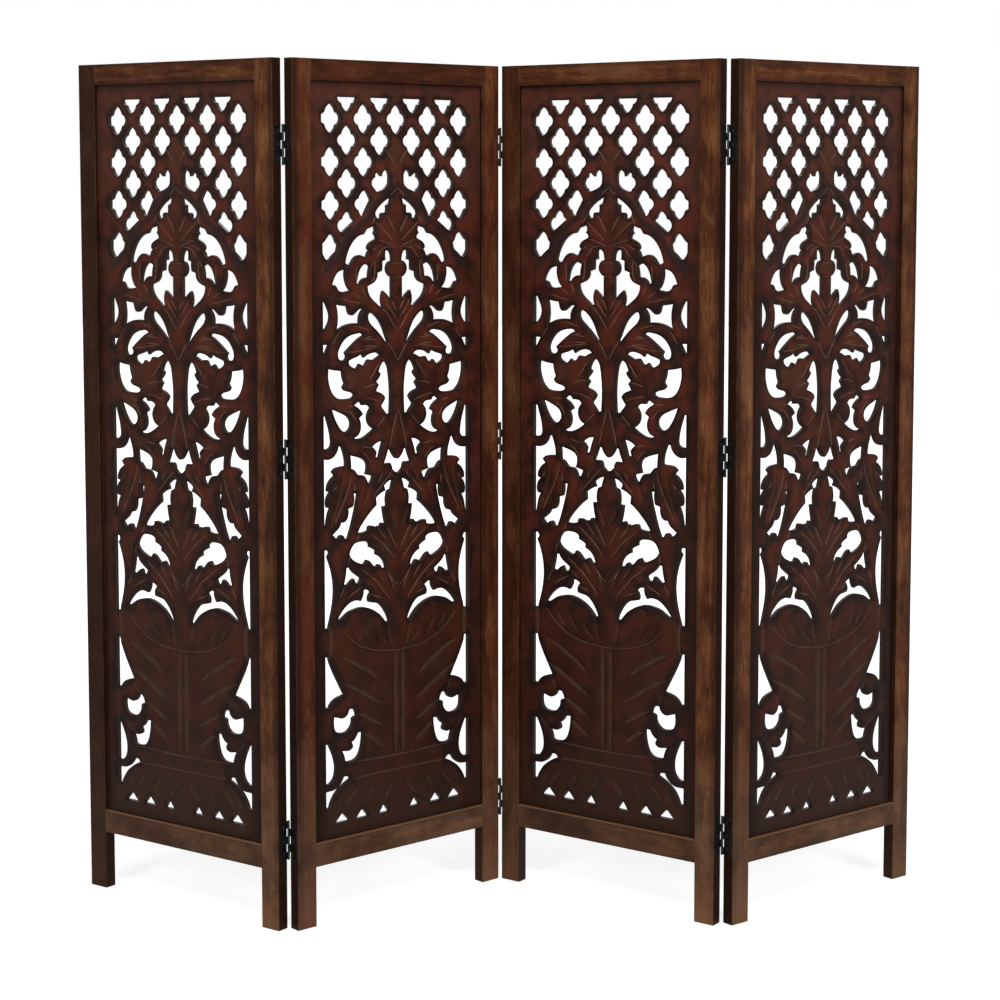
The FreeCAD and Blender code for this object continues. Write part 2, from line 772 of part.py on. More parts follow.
def moved_inward(corners, index, turn, margin):
    """One corner of a closed line, moved into the opening so that both runs are a margin away."""
    before = (corners[index] - corners[index - 1]).normalize()
    after = (corners[(index + 1) % len(corners)] - corners[index]).normalize()
    sideways = [Vector(-way.z, 0, way.x) * turn for way in (before, after)]
    way = sideways[0] + sideways[1]
    wood_tip = (before.x * after.z - before.z * after.x) * turn < 0
    limit = margin * (WOOD_TIP_SHARE if wood_tip else OPENING_TIP_SHARE)
    spread = 1 + sideways[0].dot(sideways[1])
    length = limit if way.Length * margin > limit * spread else way.Length * margin / spread
    return corners[index] + way.normalize() * length


def sawn_strokes(strokes, place, margin):
    """The strokes as points of the board, moved from the rounded rim to the sawn edge inside it.

    A point goes where the opening is too narrow for the margin, and a corner that goes is put
    back halfway between its neighbours.
    """
    corners = [place(*share) for stroke in strokes for share in stroke]
    area = sum(a.x * b.z - b.x * a.z for a, b in zip(corners, corners[1:] + corners[:1]))
    turn = 1 if area > 0 else -1
    kept, index = [], 0
    for stroke in strokes:
        run = []
        for number in range(len(stroke)):
            point = moved_inward(corners, index, turn, margin)
            room = gap_to_line(point, corners) > margin * KEPT_ROOM_SHARE
            run.append((number == 0, point if room else None))
            index += 1
        kept.append(run)
    runs = [[point for _, point in run if point is not None] for run in kept]
    starts = [run[0][1] is not None for run in kept]
    sawn = []
    for number, run in enumerate(runs):
        if not starts[number]:
            last = next(runs[number - back] for back in range(1, len(runs)) if runs[number - back])
            if not run:
                continue
            run = [(last[-1] + run[0]) / 2, *run]
        sawn.append(run)
    return sawn


def smooth_wire(strokes, place, margin):
    """A closed wire through strokes of shares, which place() turns into points of the board."""
    edges = []
    sawn = sawn_strokes(strokes, place, margin)
    for index, stroke in enumerate(sawn):
        points = [*stroke, sawn[(index + 1) % len(sawn)][0]]
        if len(points) == 2:
            edges.append(Part.makeLine(*points))
            continue
        curve = Part.BSplineCurve()
        curve.interpolate(points)
        edges.append(curve.toShape())
    return Part.Wire(edges)


def field_point(side):
    """Turns shares into a point on the board's front; side is 1 right of the centre line, -1 left."""

    def place(across, up):
        x = panel_width / 2 + side * field_half_width * across / WHOLE_SHARE
        z = field_bottom + field_height * up / WHOLE_SHARE
        return Vector(x, board_front, z)

    return place


def lowered(points):
    """The mirror image below a foil's middle, run the other way so that it carries on from above."""
    return [(x, -z) for x, z in reversed(points)]


def turned_over(points):
    return [(-x, -z) for x, z in points]


def foil_strokes(row, column, kind):
    """A four-lobed opening of the lattice: whole, cut off by the field's side, or its lower half."""
    centre_x = FOIL_COLUMN_SHARE * column
    centre_z = WHOLE_SHARE - FOIL_ROW_SHARE * row
    tip, lobe = FOIL_TIP_SHARES, FOIL_LOBE_SHARES
    side_lobe = lobe + lowered(lobe)[1:]
    left_half = [turned_over(run) for run in (tip, side_lobe, lowered(tip))]
    if kind == "whole":
        runs = [tip, side_lobe, lowered(tip), *left_half]
    elif kind == "edge":
        flat = WHOLE_SHARE - centre_x
        high, low = (flat, lobe[1][1]), (flat, -lobe[1][1])
        side = [[lobe[0], high], [high, low], [low, *lowered(lobe[:1])]]
        runs = [tip, *side, lowered(tip), *left_half]
    else:
        closing = [turned_over(lobe)[-1], lobe[-1]]
        runs = [lowered(lobe), lowered(tip), turned_over(tip), turned_over(lobe), closing]
    return [[(centre_x + x, centre_z + z) for x, z in run[:-1]] for run in runs]


def small_row_wires():
    wires = []
    base = field_bottom - size("small_row_rise")
    top = base + size("small_row_height")
    for middle, base_half, top_half in SMALL_ROW_SHARES:
        corners = ((-base_half, base), (base_half, base), (top_half, top), (-top_half, top))
        for side in (-1, 1):
            points = []
            for share, level in corners:
                x = panel_width / 2 + side * field_half_width * (middle + share) / WHOLE_SHARE
                points.append(Vector(x, board_front, level))
            wires.append(Part.makePolygon([*points, points[0]]))
    return wires


def carving_wires():
    foliage, lattice = size("foliage_rim_margin"), size("lattice_rim_margin")
    wires = small_row_wires()
    wires.append(smooth_wire(CROSSING_SHARES, field_point(1), foliage))
    foils = [(row, column, "whole") for row, column in WHOLE_FOILS]
    foils += [(row, column, "edge") for row, column in EDGE_FOILS]
    foils += [(row, column, "half") for row, column in HALF_FOILS]
    for side in (-1, 1):
        place = field_point(side)
        for strokes in OPENING_SHARES.values():
            wires.append(smooth_wire(strokes, place, foliage))
        for row, column, kind in foils:
            # A foil on the centre line is its own mirror image
            if column > 0 or side == 1:
                wires.append(smooth_wire(foil_strokes(row, column, kind), place, lattice))
    return wires


def make_carved_board(panel):
    """The pierced board: one flat face with all its openings, given the board's thickness."""
    play = size("board_groove_depth") - size("board_end_play")
    left, right = stile_width - play, panel_width - stile_width + play
    low, high = bottom_rail_top - play, top_rail_bottom + play
    places = ((left, low), (right, low), (right, high), (left, high))
    corners = [Vector(x, board_front, z) for x, z in places]
    outer = Part.makePolygon([*corners, corners[0]])
    face = Part.makeFace([outer, *carving_wires()], "Part::FaceMakerBullseye")
    board = document.addObject("Part::Feature", f"carved_panel_{panel}")
    board.Label = f"carved_panel_{panel}"
    board.Shape = face.extrude(Vector(0, board_thickness, 0))
    board.Placement = panel_places[panel]
    return board


# Hinges: drawn around the pin, with +X towards the leaf's stile and -Y into it


def rounded_plate(name):
    """A leaf's flat plate, with its two free corners rounded."""
    plate = document.addObject("Part::Box", f"{name}_plate")
    plate.setExpression("Length", s("leaf_thickness"))
    plate.setExpression("Width", s("leaf_reach"))
    plate.setExpression("Height", s("hinge_height"))
    plate.setExpression("Placement.Base.x", s("pin_radius + pin_clearance"))
    plate.setExpression("Placement.Base.y", "-" + s("leaf_reach"))
    plate.setExpression("Placement.Base.z", "-" + s("hinge_height / 2"))
    plate.recompute()
    radius = size("leaf_corner_radius")
    rounded = document.addObject("Part::Fillet", f"{name}_rounded")
    rounded.Base = plate
    rounded.Edges = [
        (number, radius, radius)
        for number, edge in enumerate(plate.Shape.Edges, start=1)
        if abs(edge.tangentAt(edge.FirstParameter).x) > 0.99
        and math.isclose(edge.CenterOfMass.y, -size("leaf_reach"))
    ]
    return rounded


def knuckle_parts(name, own_knuckles):
    """The leaf's own knuckles, and the notches that leave room for the other leaf's."""
    barrels = []
    notches = []
    pitch = s("( hinge_height + knuckle_gap )") + f" / {KNUCKLES}"
    for index in range(KNUCKLES):
        start = f"{index} * {pitch} - " + s("hinge_height / 2")
        if index in own_knuckles:
            barrel = document.addObject("Part::Cylinder", f"{name}_knuckle_{index}")
            barrel.setExpression("Radius", s("pin_radius + pin_clearance + leaf_thickness"))
            barrel.setExpression("Height", f"{pitch} - " + s("knuckle_gap"))
            barrel.setExpression("Placement.Base.z", start)
            barrels.append(barrel)
        else:
            notch = document.addObject("Part::Box", f"{name}_notch_{index}")
            notch.setExpression("Length", s("pin_radius + pin_clearance + leaf_thickness + overrun"))
            notch.setExpression("Width", s("knuckle_notch + overrun"))
            notch.setExpression("Height", f"{pitch} + " + s("knuckle_gap"))
            notch.setExpression("Placement.Base.y", "-" + s("knuckle_notch"))
            notch.setExpression("Placement.Base.z", f"{start} - " + s("knuckle_gap"))
            notches.append(notch)
    return barrels, notches


def countersinks(name):
    """The tools that cut a leaf's screw holes, as deep as the leaf is thick."""
    tools = []
    reach = hinge_half - size("screw_end_margin")
    along_x = FreeCAD.Rotation(Vector(0, 1, 0), 90)
    from_pin = size("screw_from_edge") + size("pin_standoff")
    for index in range(SCREWS_PER_LEAF):
        cone = document.addObject("Part::Cone", f"{name}_countersink_{index}")
        cone.setExpression("Radius1", s("screw_head_radius"))
        cone.setExpression("Radius2", s("screw_radius"))
        cone.setExpression("Height", s("leaf_thickness"))
        level = -reach + 2 * reach * index / (SCREWS_PER_LEAF - 1)
        cone.Placement = FreeCAD.Placement(Vector(bore_radius, -from_pin, level), along_x)
        tools.append(cone)
    return tools


def make_leaf(name, own_knuckles, placement):
    """One leaf of a butt hinge with its rolled knuckles, countersunk for its screws."""
    barrels, notches = knuckle_parts(name, own_knuckles)
    bore = document.addObject("Part::Cylinder", f"{name}_bore")
    bore.setExpression("Radius", s("pin_radius + pin_clearance"))
    bore.setExpression("Height", s("hinge_height + 2 * overrun"))
    bore.setExpression("Placement.Base.z", "-" + s("hinge_height / 2") + " - " + s("overrun"))
    whole = document.addObject("Part::MultiFuse", f"{name}_whole")
    whole.Shapes = [rounded_plate(name), *barrels]
    removed = document.addObject("Part::MultiFuse", f"{name}_removed")
    removed.Shapes = [bore, *notches, *countersinks(name)]
    leaf = document.addObject("Part::Cut", name)
    leaf.Base = whole
    leaf.Tool = removed
    leaf.Label = name
    leaf.Placement = placement
    return leaf


def make_pin(name, place):
    """A hinge pin: a rod with a low button head at each end."""
    rod = document.addObject("Part::Cylinder", f"{name}_rod")
    rod.setExpression("Radius", s("pin_radius"))
    rod.setExpression("Height", s("hinge_height"))
    rod.setExpression("Placement.Base.z", "-" + s("hinge_height / 2"))
    shapes = [rod]
    for end, sign in (("foot", -1), ("head", 1)):
        button = document.addObject("Part::Cone", f"{name}_{end}")
        button.setExpression("Radius1", s("pin_head_radius"))
        button.setExpression("Radius2", s("pin_radius"))
        button.setExpression("Height", s("pin_head_height"))
        flip = FreeCAD.Rotation(Vector(1, 0, 0), 0 if sign == 1 else 180)
        button.Placement = FreeCAD.Placement(Vector(0, 0, sign * hinge_half), flip)
        shapes.append(button)
    pin = document.addObject("Part::MultiFuse", name)
    pin.Shapes = shapes
    pin.Label = name
    pin.Placement = place
    return pin


def leaf_placement(panel, line, side, face, level):
    """Turns a drawn leaf onto the left or right edge of a panel, with its pin at front or back."""
    turn = panel_places[panel].Rotation
    # The drawn leaf fits a left edge with its pin behind; other cases are half turns about X or Z
    if side == "left" and face == "back":
        local = FreeCAD.Rotation()
    elif side == "left":
        local = FreeCAD.Rotation(Vector(1, 0, 0), 180)
    elif face == "back":
        local = FreeCAD.Rotation(Vector(0, 1, 0), 180)
    else:
        local = FreeCAD.Rotation(Vector(0, 0, 1), 180)
    return FreeCAD.Placement(line + Vector(0, 0, level), turn.multiply(local))


def make_screw():
    """A slotted countersunk wood screw along +X, with its head's face at X zero."""
    radius = size("screw_radius")
    start, along = Vector(0, 0, 0), Vector(1, 0, 0)
    head = Part.makeCone(size("screw_head_radius"), radius, size("leaf_thickness"), start, along)
    tip = 2 * radius
    straight = size("screw_length") - tip
    shank = Part.makeCylinder(radius, straight, start, along)
    point = Part.makeCone(radius, 0, tip, Vector(straight, 0, 0), along)
    slot = Part.makeBox(
        2 * size("screw_slot_depth"), 2 * size("screw_head_radius"), size("screw_slot_width"),
        Vector(-size("screw_slot_depth"), -size("screw_head_radius"), -size("screw_slot_width") / 2),
    )
    return head.fuse([shank, point]).cut(slot).removeSplitter()


def make_screws(name, placements):
    """All the screws of one edge of a panel, as separate solids in one node."""
    node = document.addObject("Part::Feature", name)
    node.Label = name
    pattern = make_screw()
    solids = []
    for placement in placements:
        solid = pattern.copy()
        solid.Placement = placement
        solids.append(solid)
    node.Shape = Part.makeCompound(solids)
    node.Placement = FreeCAD.Placement()
    return node


def make_hinges(number):
    """The three hinges of one joint: two leaves and a pin each, and the screws of both panels."""
    panels = {"left": number, "right": number + 1}
    face = hinge_sides(number)["right"]
    line = hinge_lines[number - 1]
    from_pin = size("screw_from_edge") + size("pin_standoff")
    nodes = []
    screws = {"left": [], "right": []}
    for hinge, level in HINGE_HEIGHTS.items():
        for side, panel in panels.items():
            three = THREE_KNUCKLE_SIDES[number][hinge] == side
            knuckles = range(0 if three else 1, KNUCKLES, 2)
            # A leaf of the left panel sits on that panel's right edge, and the other way round
            edge = "right" if side == "left" else "left"
            placement = leaf_placement(panel, line, edge, face, level)
            nodes.append(make_leaf(f"hinge_{number}_{hinge}_{side}_leaf", knuckles, placement))
            for height in screw_heights(hinge):
                spot = Vector(bore_radius, -from_pin, height - level)
                screws[side].append(placement.multiply(FreeCAD.Placement(spot, FreeCAD.Rotation())))
        pin_place = FreeCAD.Placement(line + Vector(0, 0, level), FreeCAD.Rotation())
        nodes.append(make_pin(f"hinge_{number}_{hinge}_pin", pin_place))
    nodes.append(make_screws(f"hinge_screws_right_{number}", screws["left"]))
    nodes.append(make_screws(f"hinge_screws_left_{number + 1}", screws["right"]))
    return nodes


# Assembly

nodes = []
for panel in PANELS:
    nodes.append(make_stile(panel, "left"))
    nodes.append(make_stile(panel, "right"))
    nodes.append(make_rail(panel, "top"))
    nodes.append(make_rail(panel, "bottom"))
    nodes.append(make_carved_board(panel))
for number in PANELS[:-1]:
    nodes += make_hinges(number)
document.recompute()

for thing in document.Objects:
    if {"Invalid", "Error"} & set(thing.State):
        raise RuntimeError(f"{thing.Label}: {thing.State}")
for node in nodes:
    if node.Shape.isNull() or not node.Shape.isValid():
        raise RuntimeError(f"{node.Label} has no valid shape")

os.makedirs("parts", exist_ok=True)
for node in nodes:
    node.Shape.exportStep(f"parts/{node.Label}.step")
    print(f"{node.Label}: {len(node.Shape.Solids)} solids, {node.Shape.Volume / 1000:.1f} cm3")
spots = ", ".join(f"({spot.x:.3f}, {spot.y:.3f})" for spot in hinge_lines)
print(f"{len(nodes)} nodes; hinge lines at {spots}")
for panel in PANELS:
    base = panel_places[panel].Base
    turn = math.degrees(panel_places[panel].Rotation.Angle) * panel_places[panel].Rotation.Axis.z
    print(f"panel {panel} stands at ({base.x:.3f}, {base.y:.3f}), turned {turn:.3f} degrees")
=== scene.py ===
# %% [markdown]
# # A carved jali screen in four folding panels
#
# The screen is four joined wooden frames, each holding one pierced and carved board, and
# black hinges between them. The frame file gives every solid piece at its true size. This
# lesson dresses it: the boards get their carving, the wood gets its grain, stain and wear,
# and the hinges their enamel. Then it sets up the studio that the photograph was taken in.

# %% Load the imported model
import math

import bpy
import numpy as np
from mathutils import Matrix, Vector, geometry, kdtree


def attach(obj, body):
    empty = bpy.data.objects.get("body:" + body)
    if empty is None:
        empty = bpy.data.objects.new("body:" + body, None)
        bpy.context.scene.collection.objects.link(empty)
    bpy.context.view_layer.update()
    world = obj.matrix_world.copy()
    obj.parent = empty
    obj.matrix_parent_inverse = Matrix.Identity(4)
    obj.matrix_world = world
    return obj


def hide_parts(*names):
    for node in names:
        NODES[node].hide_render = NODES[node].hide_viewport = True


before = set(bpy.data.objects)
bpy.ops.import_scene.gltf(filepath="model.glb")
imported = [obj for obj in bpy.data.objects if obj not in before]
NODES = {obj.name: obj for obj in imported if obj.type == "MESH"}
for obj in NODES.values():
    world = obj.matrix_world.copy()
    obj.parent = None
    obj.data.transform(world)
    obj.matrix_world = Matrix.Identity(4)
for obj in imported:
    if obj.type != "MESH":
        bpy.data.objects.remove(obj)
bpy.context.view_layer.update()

PANELS = (1, 2, 3, 4)
MM = 0.001

# %% [markdown]
# ## Where each panel stands
#
# The four panels stand in a zigzag, so every later step needs each panel's own axes: x along
# its width, y into its thickness and z up. They could be typed in as numbers. Reading them
# from the bottom rail and the left stile keeps this lesson right if the layout changes: the
# rail's broad front face gives the direction, and the stile's outer front corner the start.

# %% Find the panel axes
UPRIGHT_TOLERANCE = 0.1


def broad_face_normal(node):
    """The normal of the node's largest upright face that looks to the front."""
    best = None
    for face in NODES[node].data.polygons:
        upright = abs(face.normal.z) < UPRIGHT_TOLERANCE and face.normal.y < 0
        if upright and (best is None or face.area > best.area):
            best = face
    return best.normal


def node_points(node):
    """The corners of a node's mesh as rows of x, y and z."""
    mesh = NODES[node].data
    points = np.zeros(len(mesh.vertices) * 3, np.float64)
    mesh.vertices.foreach_get("co", points)
    return points.reshape(-1, 3)


def panel_place(number):
    """The matrix that takes panel coordinates to the row's frame, and the panel's turn."""
    normal = broad_face_normal(f"bottom_rail_{number}")
    turn = math.atan2(normal.x, -normal.y)
    back_turn = Matrix.Rotation(-turn, 3, "Z")
    turned = node_points(f"stile_left_{number}") @ np.array(back_turn).T
    start = Matrix.Rotation(turn, 3, "Z") @ Vector((turned[:, 0].min(), turned[:, 1].min(), 0))
    return Matrix.Translation(start) @ Matrix.Rotation(turn, 4, "Z"), turn


PLACES = {number: panel_place(number) for number in PANELS}
for number, (place, turn) in PLACES.items():
    print("panel", number, "turned", round(math.degrees(turn), 2), "starts at",
          [round(value, 4) for value in place.translation])

# %% [markdown]
# ## The camera
#
# The photograph was taken with a long lens from a little above the middle of the screen, and
# its upright edges stay nearly upright. A camera that only tilted down would lean them, so
# this one tilts a little and shifts its picture down for the rest, as a view camera does.

# %% Set the camera
CAMERA_PLACE = (-0.0089, -4.8740, 1.5752)
CAMERA_PITCH = math.radians(5.110)
CAMERA_YAW = math.radians(-0.064)
CAMERA_LENS = 81.71
CAMERA_SENSOR = 36.0
CAMERA_SHIFT_UP = -0.115
CAMERA_NEAR = 0.05
CAMERA_FAR = 60.0
# an unturned camera looks straight down, so a quarter turn makes it level
LEVEL = math.radians(90)

camera_data = bpy.data.cameras.new("studio_camera")
camera_data.lens = CAMERA_LENS
camera_data.sensor_width = CAMERA_SENSOR
camera_data.shift_y = CAMERA_SHIFT_UP
camera_data.clip_start = CAMERA_NEAR
camera_data.clip_end = CAMERA_FAR
camera = bpy.data.objects.new("studio_camera", camera_data)
camera.location = CAMERA_PLACE
camera.rotation_euler = (LEVEL - CAMERA_PITCH, 0.0, CAMERA_YAW)
bpy.context.scene.collection.objects.link(camera)
bpy.context.scene.camera = camera
print("camera at", CAMERA_PLACE, "lens", CAMERA_LENS)

# %% [markdown]
# ## Small helpers for materials
#
# A material is a graph of nodes. It could be wired by hand in the shader editor, or in code
# one socket at a time, which soon hides what it does. A few helpers keep it readable: one
# adds a node and fills its sockets with values or with other nodes' outputs, and one turns a
# colour that was judged on a screen into the linear colour that the shader wants.

# %% Colours and nodes
MID_BROWN = (79, 50, 33)


def stain(red, green, blue):
    """A screen colour, each part from zero to full scale, as a linear colour."""
    full = 255.0
    knee, slope, offset, power = 0.04045, 12.92, 0.055, 2.4
    parts = []
    for part in (red / full, green / full, blue / full):
        low = part / slope
        high = ((part + offset) / (1 + offset)) ** power
        parts.append(low if part <= knee else high)
    return (*parts, 1.0)


def add(tree, kind, settings=None, **sockets):
    """Adds a shader node. settings are its properties, sockets its inputs by name.

    A socket is also named by its number, as in i0 for the first.
    """
    made = tree.nodes.new("ShaderNode" + kind)
    for key, value in (settings or {}).items():
        setattr(made, key, value)
    for key, value in sockets.items():
        numbered = key[0] == "i" and key[1:].isdigit()
        socket = made.inputs[int(key[1:]) if numbered else key.replace("_", " ")]
        if isinstance(value, bpy.types.NodeSocket):
            tree.links.new(value, socket)
        else:
            socket.default_value = value
    return made


def new_material(name):
    """A material with its node tree and its shader."""
    material = bpy.data.materials.new(name)
    material.use_nodes = True
    tree = material.node_tree
    return material, tree, tree.nodes["Principled BSDF"]


print("a mid brown in linear values", [round(part, 3) for part in stain(*MID_BROWN)])

# %% Sums and mixtures
def calc(tree, operation, *values):
    """One sum on one, two or three values or sockets."""
    inputs = {f"i{index}": value for index, value in enumerate(values)}
    return add(tree, "Math", {"operation": operation}, **inputs).outputs[0]


def times(tree, first, second):
    """The product of two values."""
    return calc(tree, "MULTIPLY", first, second)


def weighed(tree, *pairs):
    """The sum of several values, each times its weight."""
    total = 0.0
    for value, weight in pairs:
        total = calc(tree, "MULTIPLY_ADD", value, weight, total)
    return total


def spread(tree, value, low, high, to_low=0.0, to_high=1.0):
    """Maps low..high to to_low..to_high with soft ends.

    The values named SPAN below are its low and high, and those named SHARES are all four.
    """
    settings = {"interpolation_type": "SMOOTHSTEP"}
    names = {"From_Min": low, "From_Max": high, "To_Min": to_low, "To_Max": to_high}
    return add(tree, "MapRange", settings, Value=value, **names).outputs["Result"]


def layered(tree, colour, *layers):
    """Lays colours over a colour, one after another, each by its own share."""
    for share, over in layers:
        mixed = add(tree, "Mix", {"data_type": "RGBA"}, i0=share, i6=colour, i7=over)
        colour = mixed.outputs[2]
    return colour


def noise(tree, coordinates, scale, detail, roughness=0.5, bend=0.0):
    """A cloudy pattern, about scale patches to the metre."""
    return add(tree, "TexNoise", None, Vector=coordinates, Scale=scale, Detail=detail,
               Roughness=roughness, Distortion=bend).outputs["Fac"]


def finish(tree, shader, colour, roughness, height, strength, distance):
    """Links a colour, a roughness and a relief to the shader."""
    tree.links.new(colour, shader.inputs["Base Color"])
    tree.links.new(roughness, shader.inputs["Roughness"])
    bump = add(tree, "Bump", None, Strength=strength, Distance=distance, Height=height)
    tree.links.new(bump.outputs["Normal"], shader.inputs["Normal"])


print("helpers ready: add, calc, times, weighed, spread, layered, noise and finish")

# %% [markdown]
# ## The grain of the wood
#
# The frames are a coarse tropical hardwood, stained dark and rubbed back, so light and dark
# run along the grain in streaks, with short open pores. An image of wood would tile and
# stretch. Here noises do it, each stretched along the grain by its own amount: the broad
# figure, the fibres, the pores, and on the frames the clouds that a rag with stain leaves. A
# round noise gives the blotches where the stain took unevenly. They are read in panel
# coordinates, so the grain runs up a stile and along a rail however the panel is turned.

# %% Noises of the grain
FIGURE = {"across": 30.0, "along": 3.0, "start": 0.0, "detail": 4.0, "bend": 1.6}
FIBRE = {"across": 260.0, "along": 30.0, "start": 3.1, "detail": 3.0, "bend": 0.0}
PORE = {"across": 560.0, "along": 60.0, "start": 7.7, "detail": 1.0, "bend": 0.0}
CLOUD = {"across": 16.0, "along": 5.5, "start": 11.3, "detail": 3.0, "bend": 0.8}
GRAIN_ROUGHNESS = 0.55
START_SHARES = (1.0, 0.7, 1.3)
BLOTCH = {"scale": 11.0, "detail": 3.0, "roughness": 0.6, "bend": 0.4}


def stretched_noise(tree, coordinates, kind, upright, shift):
    """A noise drawn out along the grain, which runs up the piece or along it."""
    across, along = kind["across"], kind["along"]
    moved = add(tree, "Mapping", Vector=coordinates)
    moved.inputs["Scale"].default_value = (
        (across, across, along) if upright else (along, across, across))
    start = shift + kind["start"]
    moved.inputs["Location"].default_value = [start * share for share in START_SHARES]
    return noise(tree, moved.outputs["Vector"], 1.0, kind["detail"], GRAIN_ROUGHNESS, kind["bend"])


def wood_grain(tree, coordinates, upright, shift):
    """The figure, fibre, pore and blotch noises, which frames and boards share."""
    grain = [stretched_noise(tree, coordinates, kind, upright, shift)
             for kind in (FIGURE, FIBRE, PORE)]
    return (*grain, noise(tree, coordinates, **BLOTCH))


print("grain noises per metre", FIGURE["across"], FIBRE["across"], PORE["across"])

# %% [markdown]
# ## The frame wood: its colours
#
# On the real screen the fronts of the stiles are rubbed to an orange brown, with pale flecks
# and dark pores in the grain. One tone, mixed from the noises, could drive a mix of two
# colours, but rubbed stain has a brown of its own between its dark and its light. A colour
# ramp with three stops gives that, and red patches, flecks and pores are laid over it.

# %% Rubbed and stained grain
# the dark colour also serves as painted shade on the sides and under the rails' pale line
FRAME_DARK_STAIN_AND_SHADE = stain(33, 17, 10)
FRAME_LOW = stain(50, 27, 15)
FRAME_MID = stain(82, 46, 26)
FRAME_LIGHT = stain(108, 69, 41)
FRAME_FLECK = stain(146, 108, 72)
FRAME_RED = stain(88, 40, 24)
FRAME_PORE = stain(28, 17, 12)
# the worn colour also serves as painted highlight and painted light
FRAME_WORN_AND_HIGHLIGHT = stain(126, 88, 60)
FRAME_DUST = stain(108, 88, 72)
FIBRE_SHARE = 0.40
FIGURE_SHARE = 0.55
BLOTCH_SHARE = 0.70
TONE_SPAN = (0.58, 1.06)
RED_SHARES = (0.30, 0.62, 1.5, 0.6)
FLECK_PORE_SPAN = (0.58, 0.70)
FLECK_FIGURE_SPAN = (0.40, 0.62)
FLECK_SHARE = 0.34
GROOVE_SPAN = (0.40, 0.30)
GROOVE_SHARE = 0.42


def frame_grain(tree, grain, red):
    """The colour of the rubbed grain, its tone and its pore grooves."""
    figure, fibre, pore, blotch = grain
    mixed = weighed(tree, (fibre, FIBRE_SHARE), (figure, FIGURE_SHARE), (blotch, BLOTCH_SHARE))
    tone = spread(tree, mixed, *TONE_SPAN)
    ramp = add(tree, "ValToRGB", None, Fac=tone)
    stops = ramp.color_ramp.elements
    stops[0].color = FRAME_LOW
    stops[1].color = FRAME_LIGHT
    stops.new(0.5).color = FRAME_MID
    flecks = times(tree, spread(tree, pore, *FLECK_PORE_SPAN),
                   spread(tree, figure, *FLECK_FIGURE_SPAN))
    grooves = spread(tree, pore, *GROOVE_SPAN)
    colour = layered(tree, ramp.outputs["Color"],
                     (times(tree, spread(tree, blotch, *RED_SHARES), red), FRAME_RED),
                     (times(tree, flecks, FLECK_SHARE), FRAME_FLECK),
                     (times(tree, grooves, GROOVE_SHARE), FRAME_PORE))
    return colour, tone, grooves


print("grain colours from", FRAME_LOW[:3], "to", FRAME_LIGHT[:3])

# %% [markdown]
# ## The frame wood: stain, dust, wear and painted light
#
# The sides of the stiles are almost black, partly with stain and partly with painted shade,
# and stain also gathered along the long edges of each face. A pale line of painted highlight
# and wear runs along the top of each bottom rail, over a dark line of painted shade, faces
# that look up get painted light with some dust, the feet are dusty, and the corners are worn
# light, partly with painted highlight. Masks could be painted on each piece. Here each one is
# worked out: the shade of a face from its direction in the panel, the wear from the Bevel
# node, which bends the normal only near an edge, and the rest from the place in the panel.
# That way the solid from the frame file keeps its own mesh.

# %% Which way a face looks, and how near it is to an edge
SIDE_SPAN = (0.85, 0.45)
WEAR_RADIUS = 2.8 * MM
BEVEL_SAMPLES = 4
BENT_SPAN = (0.995, 0.88)


def panel_coordinates(tree, place, turn):
    """Coordinates in metres along the panel's own axes."""
    found = add(tree, "TexCoord").outputs["Object"]
    mapping = add(tree, "Mapping", {"vector_type": "TEXTURE"}, Vector=found)
    mapping.inputs["Location"].default_value = place.translation
    mapping.inputs["Rotation"].default_value = (0.0, 0.0, turn)
    return mapping.outputs["Vector"]


def turned_away(tree, normal, turn):
    """One on the sides of a piece, zero on its front and back."""
    spaces = {"vector_type": "NORMAL", "convert_from": "WORLD", "convert_to": "OBJECT"}
    own_normal = add(tree, "VectorTransform", spaces, Vector=normal).outputs[0]
    facing = add(tree, "VectorMath", {"operation": "DOT_PRODUCT"}, i0=own_normal,
                 i1=(math.sin(turn), -math.cos(turn), 0.0)).outputs["Value"]
    return spread(tree, calc(tree, "ABSOLUTE", facing), *SIDE_SPAN)


def near_edge(tree, normal, radius):
    """One at a piece's edges, where the Bevel node bends the normal, and zero on its flats."""
    bent = add(tree, "Bevel", {"samples": BEVEL_SAMPLES}, Radius=radius).outputs["Normal"]
    same = add(tree, "VectorMath", {"operation": "DOT_PRODUCT"}, i0=bent, i1=normal)
    return spread(tree, same.outputs["Value"], *BENT_SPAN)


print("wear reaches", round(WEAR_RADIUS / MM, 1), "mm in from an edge")

# %% Stain that gathered
# the sides of a piece are darkened by stain and by painted shade
SIDE_STAIN_AND_SHADE_SHARES = (0.35, 0.60, 1.0, 0.74)
CLOUD_DARK_SHARES = (0.50, 0.34, 0.0, 0.62)
CLOUD_BARE_SHARES = (0.54, 0.70, 0.0, 0.34)
EDGE_UNEVENNESS = 1.1
EDGE_SHARES = (0.48, 1.12, 0.0, 0.80)
# a pale line of painted highlight and wear along a bottom rail's top, and painted shade under it
BEAD_HIGHLIGHT_SHARES = (1.6 * MM, 2.6 * MM, 0.62, 0.0)
GROOVE_SHADE_SHARES = (3.0 * MM, 7.0 * MM, 0.70, 0.0)
# how far the rubbed part of a stile lies from its middle, in half widths
RUBBED_SHIFT = {
    "stile_right_1": -0.22, "stile_left_2": 0.38, "stile_left_3": 0.20, "stile_right_3": -0.10,
    "stile_left_4": 0.34, "stile_right_4": -0.15,
}


def piece_span(node, number, upright):
    """The middle of a piece's rubbed part and its half width across the grain, in metres."""
    points = [PLACES[number][0].inverted() @ vertex.co for vertex in NODES[node].data.vertices]
    across = [point.x if upright else point.z for point in points]
    half_width = (max(across) - min(across)) / 2
    return (min(across) + max(across)) / 2 + RUBBED_SHIFT.get(node, 0.0) * half_width, half_width


